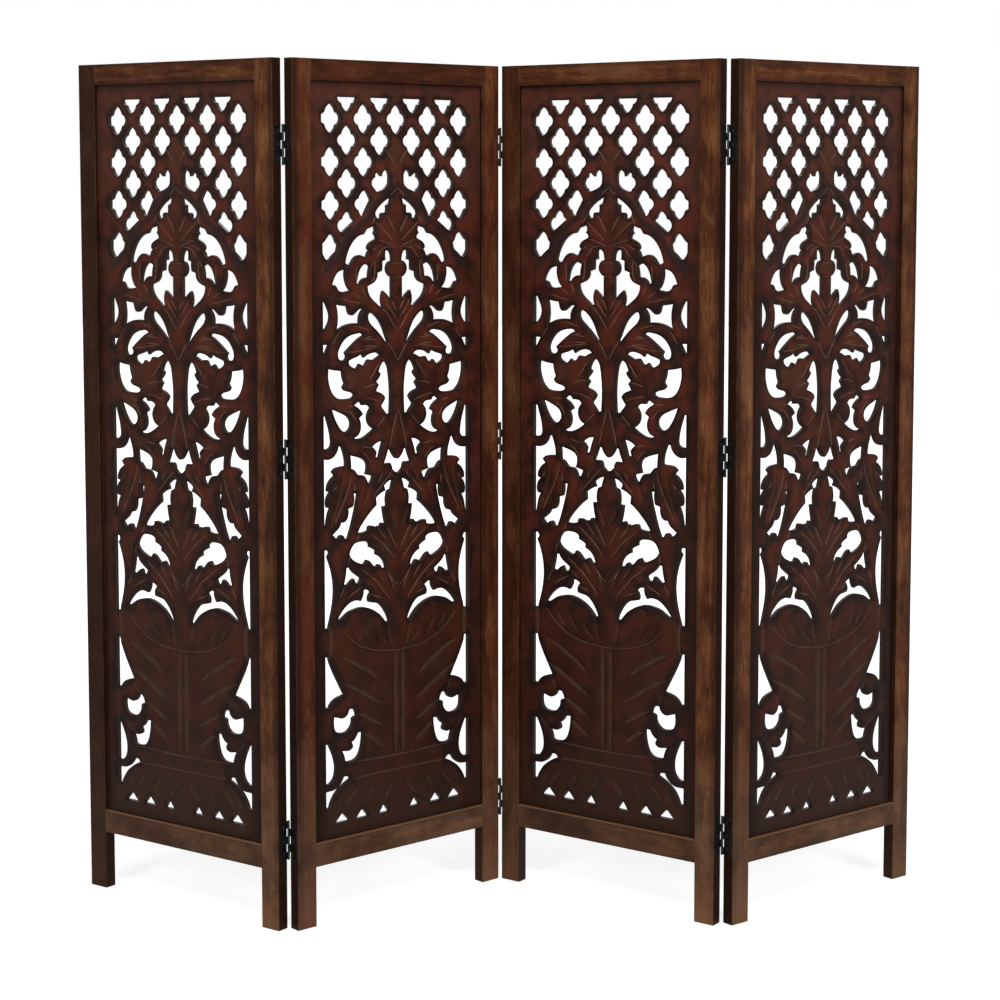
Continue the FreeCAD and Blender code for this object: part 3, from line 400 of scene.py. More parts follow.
def edge_stain(tree, across, figure, middle, half_width):
    """The share of dark stain along the long edges of a face."""
    from_middle = calc(tree, "ABSOLUTE", calc(tree, "SUBTRACT", across, middle))
    from_middle = calc(tree, "DIVIDE", from_middle, half_width)
    uneven = calc(tree, "SUBTRACT", figure, 0.5)
    return spread(tree, calc(tree, "MULTIPLY_ADD", uneven, EDGE_UNEVENNESS, from_middle),
                  *EDGE_SHARES)


def bead_highlight_and_groove_shade(tree, height, top):
    """A pale line of painted highlight and wear atop a bottom rail, over painted shade."""
    below_top = calc(tree, "SUBTRACT", top, height)
    return ((spread(tree, below_top, *GROOVE_SHADE_SHARES), FRAME_DARK_STAIN_AND_SHADE),
            (spread(tree, below_top, *BEAD_HIGHLIGHT_SHARES), FRAME_WORN_AND_HIGHLIGHT))


print("first stile, middle and half width",
      [round(value, 4) for value in piece_span("stile_left_1", 1, True)])

# %% Dust and wear
DUST_SHARE = 0.30
DUST_SPAN = (0.46, 0.16)
DUST_PATCH_SHARES = (0.30, 0.62, 0.5, 1.2)
# faces that look up get painted light, with some dust
UPWARD_LIGHT_SPAN = (0.6, 0.9)
UPWARD_LIGHT_SHARE = 0.65
# weights of blotch and fibre
WEAR_PATCH_WEIGHTS = (0.7, 0.5)
WEAR_PATCH_SPAN = (0.45, 0.72)
# the corners' light is wear and painted highlight
WEAR_SHARE = 0.6
FOOT_WEAR_HEIGHT = 0.15
FOOT_WEAR_SHARE = 0.42


def dust(tree, height, blotch, front, depth):
    """The share of dust low on the fronts of a piece."""
    patchy = times(tree, spread(tree, height, *DUST_SPAN),
                   spread(tree, blotch, *DUST_PATCH_SHARES))
    return times(tree, times(tree, patchy, DUST_SHARE * (1 - depth)), front)


def upward_light_and_dust(tree, normal):
    """The share of painted light, with some dust, on what looks up."""
    upward = add(tree, "SeparateXYZ", None, Vector=normal).outputs["Z"]
    return times(tree, spread(tree, upward, *UPWARD_LIGHT_SPAN), UPWARD_LIGHT_SHARE)


def wear_and_edge_highlight(tree, grain, normal, height, front, depth):
    """The share of wear with painted highlight on the corners, and of wear at the feet."""
    _, fibre, _, blotch = grain
    blotch_weight, fibre_weight = WEAR_PATCH_WEIGHTS
    patchy = weighed(tree, (blotch, blotch_weight), (fibre, fibre_weight))
    corners = times(tree, near_edge(tree, normal, WEAR_RADIUS),
                    spread(tree, patchy, *WEAR_PATCH_SPAN))
    foot = times(tree, spread(tree, height, FOOT_WEAR_HEIGHT, 0.0), front)
    foot = times(tree, foot, FOOT_WEAR_SHARE * (1 - depth))
    return calc(tree, "MAXIMUM", times(tree, corners, WEAR_SHARE), foot)


print("dust lies below", max(DUST_SPAN), "m, and feet are worn below", FOOT_WEAR_HEIGHT, "m")

# %% Frame wood material
GLOSS = 0.055
GLOSS_TINT = (1.0, 0.84, 0.72, 1.0)
FRAME_ROUGH_SHARES = (0.0, 1.0, 0.48, 0.36)
# weights of fibre and pore grooves, and the strength and depth of the relief
FRAME_RELIEF_WEIGHTS = (0.5, -0.8)
FRAME_BUMP = (0.22, 0.5 * MM)


def frame_wood(node, upright, shift, depth, red):
    """Stained frame wood. depth darkens the piece, red turns it from orange to red."""
    number = int(node[-1])
    place, turn = PLACES[number]
    middle, half_width = piece_span(node, number, upright)
    material, tree, shader = new_material("stained_" + node)
    coordinates = panel_coordinates(tree, place, turn)
    grain = wood_grain(tree, coordinates, upright, shift)
    figure, fibre, _, blotch = grain
    colour, tone, grooves = frame_grain(tree, grain, red)
    cloud = stretched_noise(tree, coordinates, CLOUD, upright, shift)
    normal = add(tree, "NewGeometry").outputs["True Normal"]
    side = turned_away(tree, normal, turn)
    front = calc(tree, "SUBTRACT", 1.0, side)
    where = add(tree, "SeparateXYZ", None, Vector=coordinates)
    height = where.outputs["Z"]
    across = where.outputs["X"] if upright else height
    line = bead_highlight_and_groove_shade(tree, height, middle + half_width) if node.startswith("bottom") else ()
    colour = layered(
        tree, colour,
        (spread(tree, cloud, *CLOUD_DARK_SHARES), FRAME_DARK_STAIN_AND_SHADE),
        (spread(tree, cloud, *CLOUD_BARE_SHARES), FRAME_WORN_AND_HIGHLIGHT),
        # stain and painted shade on the sides
        (times(tree, side, spread(tree, blotch, *SIDE_STAIN_AND_SHADE_SHARES)), FRAME_DARK_STAIN_AND_SHADE),
        (depth, FRAME_DARK_STAIN_AND_SHADE),
        (edge_stain(tree, across, figure, middle, half_width), FRAME_DARK_STAIN_AND_SHADE),
        # painted highlight and painted shade along the top of a bottom rail
        *line,
        (dust(tree, height, blotch, front, depth), FRAME_DUST),
        # painted light with some dust on what looks up
        (upward_light_and_dust(tree, normal), FRAME_WORN_AND_HIGHLIGHT),
        # wear, with painted highlight on the corners
        (wear_and_edge_highlight(tree, grain, normal, height, front, depth), FRAME_WORN_AND_HIGHLIGHT))
    shader.inputs["Specular IOR Level"].default_value = GLOSS
    shader.inputs["Specular Tint"].default_value = GLOSS_TINT
    relief = weighed(tree, *zip((fibre, grooves), FRAME_RELIEF_WEIGHTS))
    finish(tree, shader, colour, spread(tree, tone, *FRAME_ROUGH_SHARES), relief, *FRAME_BUMP)
    return material


print("frame wood gloss", GLOSS, "and roughness up to", max(FRAME_ROUGH_SHARES[2:]))

# %% [markdown]
# ## Stiles and rails
#
# No two pieces of the frame took the stain alike: the first stile is almost black, and the
# stiles of the last panels are the lightest. One material on all of them would look like
# plastic. Each piece gets its own, with its own depth and redness, judged against the
# photograph, and its own start in the noises, so that no two show the same grain.

# %% Dress the stiles and rails
GRAIN_START = 5.0
GRAIN_STEP = 2.3
# depth and redness of each frame piece
STILE_TONES = {
    "stile_left_1": (0.84, 0.05), "stile_right_1": (0.05, 0.00),
    "stile_left_2": (0.30, 0.60), "stile_right_2": (0.06, 0.50),
    "stile_left_3": (0.44, 0.30), "stile_right_3": (0.02, 0.08),
    "stile_left_4": (0.00, 0.12), "stile_right_4": (0.02, 0.12),
}
RAIL_TONES = {
    "top_rail_1": (0.22, 0.20), "bottom_rail_1": (0.30, 0.05),
    "top_rail_2": (0.38, 0.50), "bottom_rail_2": (0.10, 0.10),
    "top_rail_3": (0.15, 0.15), "bottom_rail_3": (0.36, 0.05),
    "top_rail_4": (0.00, 0.25), "bottom_rail_4": (0.16, 0.05),
}


def dress(node, material):
    """Gives every face of a CAD node the material."""
    for slot in NODES[node].material_slots:
        slot.material = material


for index, (node, (depth, red)) in enumerate({**STILE_TONES, **RAIL_TONES}.items()):
    upright = node in STILE_TONES
    dress(node, frame_wood(node, upright, GRAIN_START + GRAIN_STEP * index, depth, red))
print("frame pieces dressed:", len(STILE_TONES) + len(RAIL_TONES))

# %% [markdown]
# ## The hinges and their screws
#
# The hinges are pressed steel with a thick, glossy black enamel, thin on the corners where
# grey metal shows. The screws are dark with a satin head. Both could be redrawn in Blender,
# but their CAD shape already has the knuckles, pins and slots, so only the finish is new: a
# fine ripple and uneven gloss for the enamel, and a soft mottle for the steel.

# %% Hinge enamel
ENAMEL_BLACK = stain(8, 7, 7)
ENAMEL_GREY = stain(20, 18, 18)
BARE_STEEL = stain(120, 114, 108)
# scale and detail of each noise, and strength and depth of the relief
RIPPLE = (420.0, 2.0)
ENAMEL_PATCH = (90.0, 4.0)
ENAMEL_WEAR_RADIUS = 0.6 * MM
ENAMEL_WEAR_SPAN = (0.50, 0.70)
ENAMEL_WEAR_SHARE = 0.7
ENAMEL_ROUGH_SHARES = (0.3, 0.7, 0.22, 0.38)
ENAMEL_GLOSS = 0.35
ENAMEL_BUMP = (0.2, 0.2 * MM)


def hinge_enamel():
    """Black enamel with a slight ripple, worn to grey at the corners."""
    material, tree, shader = new_material("black_hinge_enamel")
    coordinates = add(tree, "TexCoord").outputs["Object"]
    ripple = noise(tree, coordinates, *RIPPLE)
    patch = noise(tree, coordinates, *ENAMEL_PATCH)
    normal = add(tree, "NewGeometry").outputs["True Normal"]
    worn = times(tree, near_edge(tree, normal, ENAMEL_WEAR_RADIUS),
                 spread(tree, patch, *ENAMEL_WEAR_SPAN))
    colour = layered(tree, ENAMEL_BLACK, (patch, ENAMEL_GREY),
                     (times(tree, worn, ENAMEL_WEAR_SHARE), BARE_STEEL))
    shader.inputs["Specular IOR Level"].default_value = ENAMEL_GLOSS
    finish(tree, shader, colour, spread(tree, patch, *ENAMEL_ROUGH_SHARES), ripple, *ENAMEL_BUMP)
    return material


enamel = hinge_enamel()
print("enamel is a graph of", len(enamel.node_tree.nodes), "nodes")

# %% Screw steel
STEEL_DARK = stain(46, 43, 41)
STEEL_LIGHT = stain(96, 90, 84)
# scale and detail of the mottle
STEEL_PATCH = (600.0, 3.0)
STEEL_METALLIC = 0.85
STEEL_ROUGH_SHARES = (0.3, 0.7, 0.30, 0.50)
STEEL_BUMP = (0.2, 0.1 * MM)


def screw_steel():
    """Dark, satin steel."""
    material, tree, shader = new_material("dark_screw_steel")
    coordinates = add(tree, "TexCoord").outputs["Object"]
    patch = noise(tree, coordinates, *STEEL_PATCH)
    colour = layered(tree, STEEL_DARK, (patch, STEEL_LIGHT))
    shader.inputs["Metallic"].default_value = STEEL_METALLIC
    finish(tree, shader, colour, spread(tree, patch, *STEEL_ROUGH_SHARES), patch, *STEEL_BUMP)
    return material


steel = screw_steel()
for node in sorted(NODES):
    if node.startswith("hinge_screws"):
        dress(node, steel)
    elif node.startswith("hinge"):
        dress(node, enamel)
print("hinges and screws dressed")

# %% [markdown]
# ## Carving: the outlines
#
# Each board is sawn through into tracery, and then every bar, stem and leaf is rounded over
# and veined with a V tool. The CAD board has the tracery with square edges. To carve it, its
# outlines could be drawn again, or read from the front face of its mesh, which can't differ
# from the CAD: an edge that only one front triangle uses is part of an outline.

# %% Read the outlines of a carved board
BOARD_NUMBER = 2
BOARD_NODE = f"carved_panel_{BOARD_NUMBER}"
# corners that agree to so many places, in metres, are one point
SAME_POINT_PLACES = 5
FRONT_TOLERANCE = 0.1 * MM


def board_outlines():
    """The front face's outlines as edges with the wood on their left, in panel metres."""
    mesh = NODES[BOARD_NODE].data
    to_panel = PLACES[BOARD_NUMBER][0].inverted()
    points = [to_panel @ vertex.co for vertex in mesh.vertices]
    front = min(point.y for point in points)
    back = max(point.y for point in points)
    keys, places, used = {}, [], {}

    def number_of(point):
        key = (round(point.x, SAME_POINT_PLACES), round(point.z, SAME_POINT_PLACES))
        if key not in keys:
            keys[key] = len(places)
            places.append((point.x, point.z))
        return keys[key]

    for face in mesh.polygons:
        corners = [points[vertex] for vertex in face.vertices]
        if max(corner.y for corner in corners) - front > FRONT_TOLERANCE:
            continue
        numbers = [number_of(corner) for corner in corners]
        middle = sum(corners, Vector()) / len(corners)
        for first, second in zip(numbers, numbers[1:] + numbers[:1]):
            (x1, z1), (x2, z2) = places[first], places[second]
            left = (x2 - x1) * (middle.z - z1) - (z2 - z1) * (middle.x - x1) > 0
            used.setdefault((min(first, second), max(first, second)), []).append(
                (first, second) if left else (second, first))
    edges = [found[0] for found in used.values() if len(found) == 1]
    return np.array(places), np.array(edges), front, back


outline_points, outline_edges, BOARD_FRONT, BOARD_BACK = board_outlines()
print("outline points", len(outline_points), "edges", len(outline_edges),
      "board front and back", round(BOARD_FRONT, 4), round(BOARD_BACK, 4))

# %% [markdown]
# ## Carving: the levels
#
# The carver leaves three levels. The plain border and the leaves stay high, the lattice
# above the arch is cut back so that the arch stands proud of it, and the ground inside the
# border is a touch lower than the border. They could be modelled as separate blocks, but a
# carver works in one board, so here each is a depth that holds over a part of it. The arch's
# upper edge is a line that falls from the middle to both sides, so a point is in the lattice
# when it is above that line. Points are given in thousandth shares: across, of half the
# field's width from its middle, and up, of the field's height from its foot. The right half
# is drawn and mirrored.

# %% The field and smooth lines in it
FIELD_MIDDLE = 0.2795
FIELD_HALF_WIDTH = 0.1995
FIELD_FOOT = 0.2210
FIELD_HEIGHT = 1.5315
THOUSAND = 1000.0
# steps that a smooth line takes between two given points
KNOT_STEPS = 12


def field_point(share):
    """A point in panel metres from its shares of the field."""
    across, up = share
    return (FIELD_MIDDLE + across / THOUSAND * FIELD_HALF_WIDTH,
            FIELD_FOOT + up / THOUSAND * FIELD_HEIGHT)


def mirrored(shares):
    """The same line on the other half."""
    return [(-across, up) for across, up in shares]


def both_halves(half):
    """A whole line from its right half, which starts in the middle."""
    return mirrored(half)[:0:-1] + half


def flowing(points, spacing):
    """Evenly spaced points on a smooth line through the given ones."""
    knots = np.array(points, float)
    ends = np.vstack([2 * knots[0] - knots[1], knots, 2 * knots[-1] - knots[-2]])
    line = []
    for first, second, third, fourth in zip(ends, ends[1:], ends[2:], ends[3:]):
        for share in np.linspace(0, 1, KNOT_STEPS, endpoint=False):
            line.append(0.5 * (2 * second + (third - first) * share
                               + (2 * first - 5 * second + 4 * third - fourth) * share ** 2
                               + (3 * second - first - 3 * third + fourth) * share ** 3))
    line = np.array(line + [knots[-1]])
    run = np.concatenate([[0], np.cumsum(np.linalg.norm(np.diff(line, axis=0), axis=1))])
    count = max(2, int(round(run[-1] / spacing)) + 1)
    stations = np.linspace(0, run[-1], count)
    return np.stack([np.interp(stations, run, line[:, axis]) for axis in (0, 1)], axis=1)


def drawn(shares, spacing):
    """A smooth line in panel metres through points given in shares of the field."""
    return flowing([field_point(share) for share in shares], spacing)


print("the field's top is", round(field_point((0, THOUSAND))[1], 4), "m above the floor")

# %% The arch and the levels
ARCH_EDGE_SHARES = [
    (0, 886), (60, 880), (120, 876), (180, 872), (250, 866), (320, 858), (370, 849), (410, 841),
    (450, 836), (520, 831), (580, 824), (640, 818), (700, 811), (740, 806), (770, 797),
    (800, 788), (840, 782), (900, 776), (1000, 770),
]
ARCH_SPACING = 5 * MM
LATTICE_DEPTH = 0.5 * MM
FOLIAGE_RISE = 0.9 * MM
BAND_WIDTH = 16.0 * MM
BAND_RISE = 1.3 * MM
STEP_WIDTH = 2.2 * MM
BORDER_LINE_SHARE = 990
BORDER_TOP_SHARE = 1001

arch_line = drawn(both_halves(ARCH_EDGE_SHARES), ARCH_SPACING)
print("arch edge drawn with", len(arch_line), "points")

# %% [markdown]
# ## Carving: the veins
#
# Every leaf has veins cut with a V tool. Each stroke starts fine, swells and runs out fine
# again. The finish is rubbed through in the cuts, so they show tan. They could be left to a
# bump pattern, but real grooves catch the light and stay in the mesh. The strokes below are
# listed by the leaf that they belong to, from the finial down to the skirt of the vase, each
# as a few given points. The next lists have the broad, shallow strokes of a gouge and
# the long flutes of the vase, which are a darker olive, and the strokes across the middle.

# %% The strokes of the V tool and the gouge
# the veins of these leaves have kept most of their stain
DIM_LEAVES = ("vase", "skirt")
VEIN_SHARES = {
    "finial": [
        [(145, 929), (95, 921), (30, 911)],
    ],
    "crown_leaf": [
        [(2, 877), (35, 873), (70, 869), (98, 865)],
        [(150, 838), (118, 834), (80, 825), (50, 819), (28, 814)],
        [(300, 829), (250, 825), (190, 818), (130, 812), (85, 806), (52, 803)],
        [(258, 804), (200, 803), (140, 800), (80, 797), (25, 794)],
        [(100, 794), (160, 794), (210, 792), (250, 785), (290, 779)],
        [(215, 797), (270, 795), (310, 792), (345, 790)],
        [(293, 838), (318, 831), (345, 826)],
        [(330, 775), (345, 771), (360, 767)],
        [(308, 776), (308, 762), (318, 752), (352, 745)],
        [(556, 768), (556, 756), (552, 745)],
        [(655, 770), (678, 768), (700, 766)],
    ],
    "side_leaf": [
        [(492, 741), (472, 737), (455, 732), (438, 727)],
        [(612, 733), (570, 730), (540, 727), (515, 724)],
        [(785, 725), (730, 724), (670, 722), (610, 720), (560, 719), (500, 717)],
    ],
    "bud": [
        [(88, 721), (60, 715), (38, 710), (15, 705)],
        [(168, 721), (130, 713), (90, 706), (55, 700), (20, 696)],
        [(228, 710), (180, 706), (140, 701), (100, 694), (60, 686), (15, 679)],
        [(135, 661), (105, 656), (75, 651), (40, 643), (2, 635)],
    ],
    "curl": [
        [(592, 686), (540, 686), (490, 684), (440, 682), (398, 680)],
        [(432, 670), (390, 670), (350, 671)], [(480, 668), (420, 668), (370, 667), (300, 666)],
        [(785, 679), (820, 674), (850, 668), (892, 662)],
    ],
    "long_leaf": [
        [(270, 655), (310, 657), (360, 658), (420, 658), (470, 657)],
        [(310, 655), (370, 655), (430, 654), (500, 652), (560, 651), (620, 651), (680, 651)],
        [(252, 633), (280, 628), (315, 623), (350, 616), (400, 611)],
        [(288, 604), (340, 604), (400, 602), (452, 600)],
        [(215, 577), (260, 580), (310, 582), (350, 584), (410, 585), (480, 586)],
    ],
    "scroll": [
        [(720, 577), (680, 577), (640, 576), (600, 576)],
        [(702, 569), (655, 568), (620, 564), (590, 559), (563, 553)],
        [(170, 558), (200, 555), (230, 551), (270, 546), (302, 543)],
        [(8, 566), (22, 560), (40, 552), (55, 545), (75, 536), (92, 527), (105, 518), (112, 511)],
        [(480, 518), (430, 517), (390, 516), (350, 515)],
        [(492, 510), (450, 507), (420, 503), (392, 498), (372, 493)],
    ],
    "hanging_leaf": [
        [(88, 480), (130, 474), (180, 468), (230, 461), (275, 455), (320, 449), (350, 446)],
        [(208, 478), (238, 474), (258, 470), (262, 465)],
        [(636, 480), (655, 470), (690, 457), (730, 446), (770, 436), (805, 428), (840, 419),
         (862, 413)],
        [(592, 468), (595, 462), (598, 456)], [(830, 467), (858, 463), (882, 460)],
    ],
    "fan_leaf": [
        [(172, 401), (140, 397), (112, 391), (80, 383), (50, 376), (20, 370)],
        [(258, 398), (230, 393), (195, 388), (160, 383)],
        [(372, 394), (330, 390), (280, 385), (230, 380), (180, 374), (130, 367), (90, 361),
         (42, 355)],
        [(540, 396), (558, 390), (580, 386)], [(665, 366), (675, 359), (682, 352)],
        [(172, 341), (140, 335), (100, 328), (55, 322), (8, 317)],
        [(302, 343), (272, 338), (240, 332), (205, 326)],
        [(150, 335), (120, 330), (92, 322), (68, 314), (55, 311)],
        [(510, 347), (460, 342), (410, 337), (360, 332), (310, 327), (270, 321), (230, 315),
         (190, 309), (150, 303), (115, 298)],
        [(370, 308), (325, 306), (282, 304), (240, 302)],
        [(520, 321), (570, 317), (620, 314), (670, 310), (710, 307)],
        [(730, 325), (755, 320), (778, 315), (800, 309)],
    ],
    "vase": [
        [(732, 168), (710, 164), (692, 157), (676, 152)],
    ],
    "skirt": [
        [(90, 33), (130, 26), (170, 19), (208, 12)], [(590, 34), (640, 28), (680, 21), (720, 14)],
    ],
}
GOUGE_SHARES = {
    "hanging_leaf": [
        [(390, 463), (410, 455), (432, 447), (460, 440)],
        [(750, 480), (762, 470), (780, 459), (800, 450), (820, 441), (858, 428), (885, 420),
         (912, 411)],
    ],
    "fan_leaf": [
        [(380, 380), (330, 377), (280, 373)], [(280, 367), (240, 365), (205, 361), (170, 359)],
        [(122, 427), (100, 420), (80, 414), (55, 407), (32, 401)],
        [(500, 331), (450, 328), (410, 324), (368, 320)],
    ],
    "vase": [
        [(155, 262), (138, 250), (122, 240), (106, 232)],
        [(292, 252), (270, 246), (220, 240), (160, 234)],
        [(640, 266), (600, 257), (555, 248)],
        [(500, 264), (445, 252), (390, 244)],
        [(432, 285), (470, 284), (505, 281)],
        [(890, 110), (850, 104), (805, 98), (768, 96)],
    ],
    "skirt": [
        [(375, 32), (410, 25), (440, 18)], [(775, 27), (805, 20), (830, 14)],
    ],
}
# the long flutes of the vase, and the hollows where it meets the border
FLUTE_SHARES = {
    "vase": [
        [(800, 226), (735, 223), (680, 220), (620, 216), (560, 211), (500, 206), (440, 202),
         (390, 198), (340, 192), (290, 187)],
        [(780, 190), (700, 185), (640, 182), (580, 177), (520, 173), (460, 168), (400, 163),
         (350, 159), (300, 155), (248, 151)],
        [(560, 142), (502, 139), (450, 136), (400, 132), (350, 128), (300, 124), (240, 120)],
        [(470, 110), (430, 108), (385, 104), (340, 100), (290, 95), (240, 91)],
        [(50, 223), (50, 180), (50, 130), (50, 78)],
        [(936, 276), (926, 262), (922, 250), (926, 238), (938, 226)],
    ],
}
# strokes that cross the middle are drawn whole, and listed as their right half
WHOLE_SHARES = {
    "knob": [[(0, 772), (92, 771)], [(0, 752), (62, 752)]],
    "rim": [
        [(0, 224), (100, 225), (200, 226), (290, 228), (370, 230), (430, 233), (500, 236),
         (560, 240), (620, 246), (680, 252), (740, 260), (775, 265), (795, 269)],
    ],
    "foot": [
        [(0, 73), (180, 73), (400, 74), (620, 75), (700, 74)],
        [(0, 52), (400, 52), (655, 51)],
    ],
}
print("leaves with veins", len(VEIN_SHARES), "and strokes across the middle",
      sum(len(lines) for lines in WHOLE_SHARES.values()))

# %% How each tool cuts
VEIN_WIDTH = 3.2 * MM
VEIN_DEPTH = 1.5 * MM
GOUGE_WIDTH = 6.5 * MM
GOUGE_DEPTH = 1.5 * MM
FLUTE_WIDTH = 12.0 * MM
FLUTE_DEPTH = 2.3 * MM
VEIN_COLOUR_SHARE = 1.0
DIM_COLOUR_SHARE = 0.42
GOUGE_COLOUR_SHARE = 0.50
FLUTE_COLOUR_SHARE = 0.90
WHOLE_COLOUR_SHARE = 0.6
STROKE_SPACING = 4.5 * MM
TAPER_SHARE = 0.22
THIN_END = 0.25


def strokes():
    """Every stroke as (points, width at each point, depth, share of colour, hollow or not)."""
    made = []
    for table, width, depth, colour_share, hollow in (
        (VEIN_SHARES, VEIN_WIDTH, VEIN_DEPTH, VEIN_COLOUR_SHARE, False),
        (GOUGE_SHARES, GOUGE_WIDTH, GOUGE_DEPTH, GOUGE_COLOUR_SHARE, True),
        (FLUTE_SHARES, FLUTE_WIDTH, FLUTE_DEPTH, FLUTE_COLOUR_SHARE, True),
        (WHOLE_SHARES, VEIN_WIDTH, VEIN_DEPTH, WHOLE_COLOUR_SHARE, False),
    ):
        for leaf, lines in table.items():
            dim = table is VEIN_SHARES and leaf in DIM_LEAVES
            share = DIM_COLOUR_SHARE if dim else colour_share
            for half in lines:
                whole = table is WHOLE_SHARES
                for side in [both_halves(half)] if whole else [half, mirrored(half)]:
                    line = drawn(side, STROKE_SPACING)
                    along = np.linspace(0, 1, len(line))
                    swell = np.minimum(1, np.minimum(along, 1 - along) / TAPER_SHARE)
                    widths = width * (THIN_END + (1 - THIN_END) * np.sqrt(swell))
                    made.append((line, widths, depth, share, hollow))
    return made


STROKES = strokes()
print("strokes", len(STROKES), "with", sum(len(stroke[0]) for stroke in STROKES), "points")

# %% [markdown]
# ## Carving: how deep at each point
#
# The depth of the surface is a sum: the level, the rounding over near an outline, and the
# V or hollow of the nearest stroke. Each needs the distance to the nearest outline or stroke.
# Measuring to every one of them would take minutes. A k-d tree finds the nearest of many
# sample points fast, and the samples are set closer together than the smallest thing that
# they measure.

# %% Distances to outlines and strokes
SAMPLE_SPACING = 0.6 * MM
STROKE_STEPS = 6
ON_SIDE = 0.05 * MM
TINY = 1e-12


def tree_of(points):
    """A k-d tree of flat points."""
    made = kdtree.KDTree(len(points))
    for index, point in enumerate(points):
        made.insert((point[0], point[1], 0.0), index)
    made.balance()
    return made


def nearest(tree, point):
    """The number of the nearest sample and its distance."""
    _, index, distance = tree.find((point[0], point[1], 0.0))
    return index, distance


def along_edges(starts, ends, spacing):
    """Samples along straight edges, with the number of the edge of each."""
    lengths = np.linalg.norm(ends - starts, axis=1)
    samples, owners = [], []
    for index, (start, end, length) in enumerate(zip(starts, ends, lengths)):
        count = int(length / spacing) + 1
        for share in (np.arange(count) + 0.5) / count:
            samples.append(start + (end - start) * share)
            owners.append(index)
    return np.array(samples), np.array(owners)


def stroke_samples():
    """Samples along every stroke, with the width, depth, colour share and form at each."""
    samples, facts = [], []
    for line, widths, depth, share_of_colour, hollow in STROKES:
        for index in range(len(line) - 1):
            for share in np.linspace(0, 1, STROKE_STEPS, endpoint=False):
                samples.append(line[index] + (line[index + 1] - line[index]) * share)
                width = widths[index] + (widths[index + 1] - widths[index]) * share
                facts.append((width, depth, share_of_colour, hollow))
    return samples, facts


board_low, board_high = outline_points.min(axis=0), outline_points.max(axis=0)
on_side = ((np.abs(outline_points - board_low) < ON_SIDE)
           | (np.abs(outline_points - board_high) < ON_SIDE)).any(axis=1)
opening_edges = outline_edges[~(on_side[outline_edges[:, 0]] & on_side[outline_edges[:, 1]])]
edge_starts, edge_ends = outline_points[opening_edges[:, 0]], outline_points[opening_edges[:, 1]]
edge_samples, edge_owners = along_edges(edge_starts, edge_ends, SAMPLE_SPACING)
edge_tree = tree_of(edge_samples)
stroke_points, stroke_facts = stroke_samples()
stroke_tree = tree_of(stroke_points)
arch_samples = flowing(arch_line, SAMPLE_SPACING)
arch_tree = tree_of(arch_samples)
print("samples on outlines", len(edge_samples), "on strokes", len(stroke_points))

# %% Rounding over and zones
# reach and depth of the rounding over
LATTICE_ROUND = (3.2 * MM, 0.8 * MM)
FOLIAGE_ROUND = (8.0 * MM, 2.7 * MM)
BACK_ROUND = (3.0 * MM, 0.5 * MM)


def outline_distance(point):
    """The distance from a point to the nearest opening."""
    owner = edge_owners[nearest(edge_tree, point)[0]]
    start, along = edge_starts[owner], edge_ends[owner] - edge_starts[owner]
    point = np.array(point)
    share = np.clip(np.dot(point - start, along) / max(np.dot(along, along), TINY), 0, 1)
    return float(np.linalg.norm(point - start - along * share))


def smooth_step(value):
    """Zero below zero, one above one, and a soft rise between."""
    value = min(1.0, max(0.0, value))
    return value * value * (3 - 2 * value)


def rounding(gap, reach, depth):
    """How much a rounded rim falls away at this distance from the opening."""
    inward = max(0.0, 1 - gap / reach)
    return depth * (1 - math.sqrt(max(0.0, 1 - inward ** 2)))


def zone_at(point):
    """How far a point is in the foliage, inside the border, and up the arch's domed band."""
    inside = min(BORDER_LINE_SHARE / THOUSAND * FIELD_HALF_WIDTH - abs(point[0] - FIELD_MIDDLE),
                 BORDER_TOP_SHARE / THOUSAND * FIELD_HEIGHT - point[1] + FIELD_FOOT)
    distance = nearest(arch_tree, point)[1]
    if point[1] > np.interp(point[0], arch_samples[:, 0], arch_samples[:, 1]):
        distance = -distance
    from_crest = 2 * distance / BAND_WIDTH - 1
    band = math.sqrt(max(0.0, 1 - from_crest ** 2))
    return smooth_step(distance / STEP_WIDTH + 1), smooth_step(inside / STEP_WIDTH), band


vase_point = field_point((300, 140))
print("the vase's nearest opening is", round(outline_distance(vase_point) / MM, 1), "mm away")

# %% The depth and the colour shares at a point
# the wood sinks a little round every stroke, and the back is cut less deep than the front
SINK_REACH = 7.0 * MM
SINK_DEPTH = 0.35 * MM
BACK_SHARE = 0.7
# below this height the row of small openings keeps crisp rims, free of stain and painted shade
FOOT_ROW_SHARE = 20
FOOT_ROW_FADE_SHARE = 8
FOOT_ROW_CLEAN = 12.0 * MM


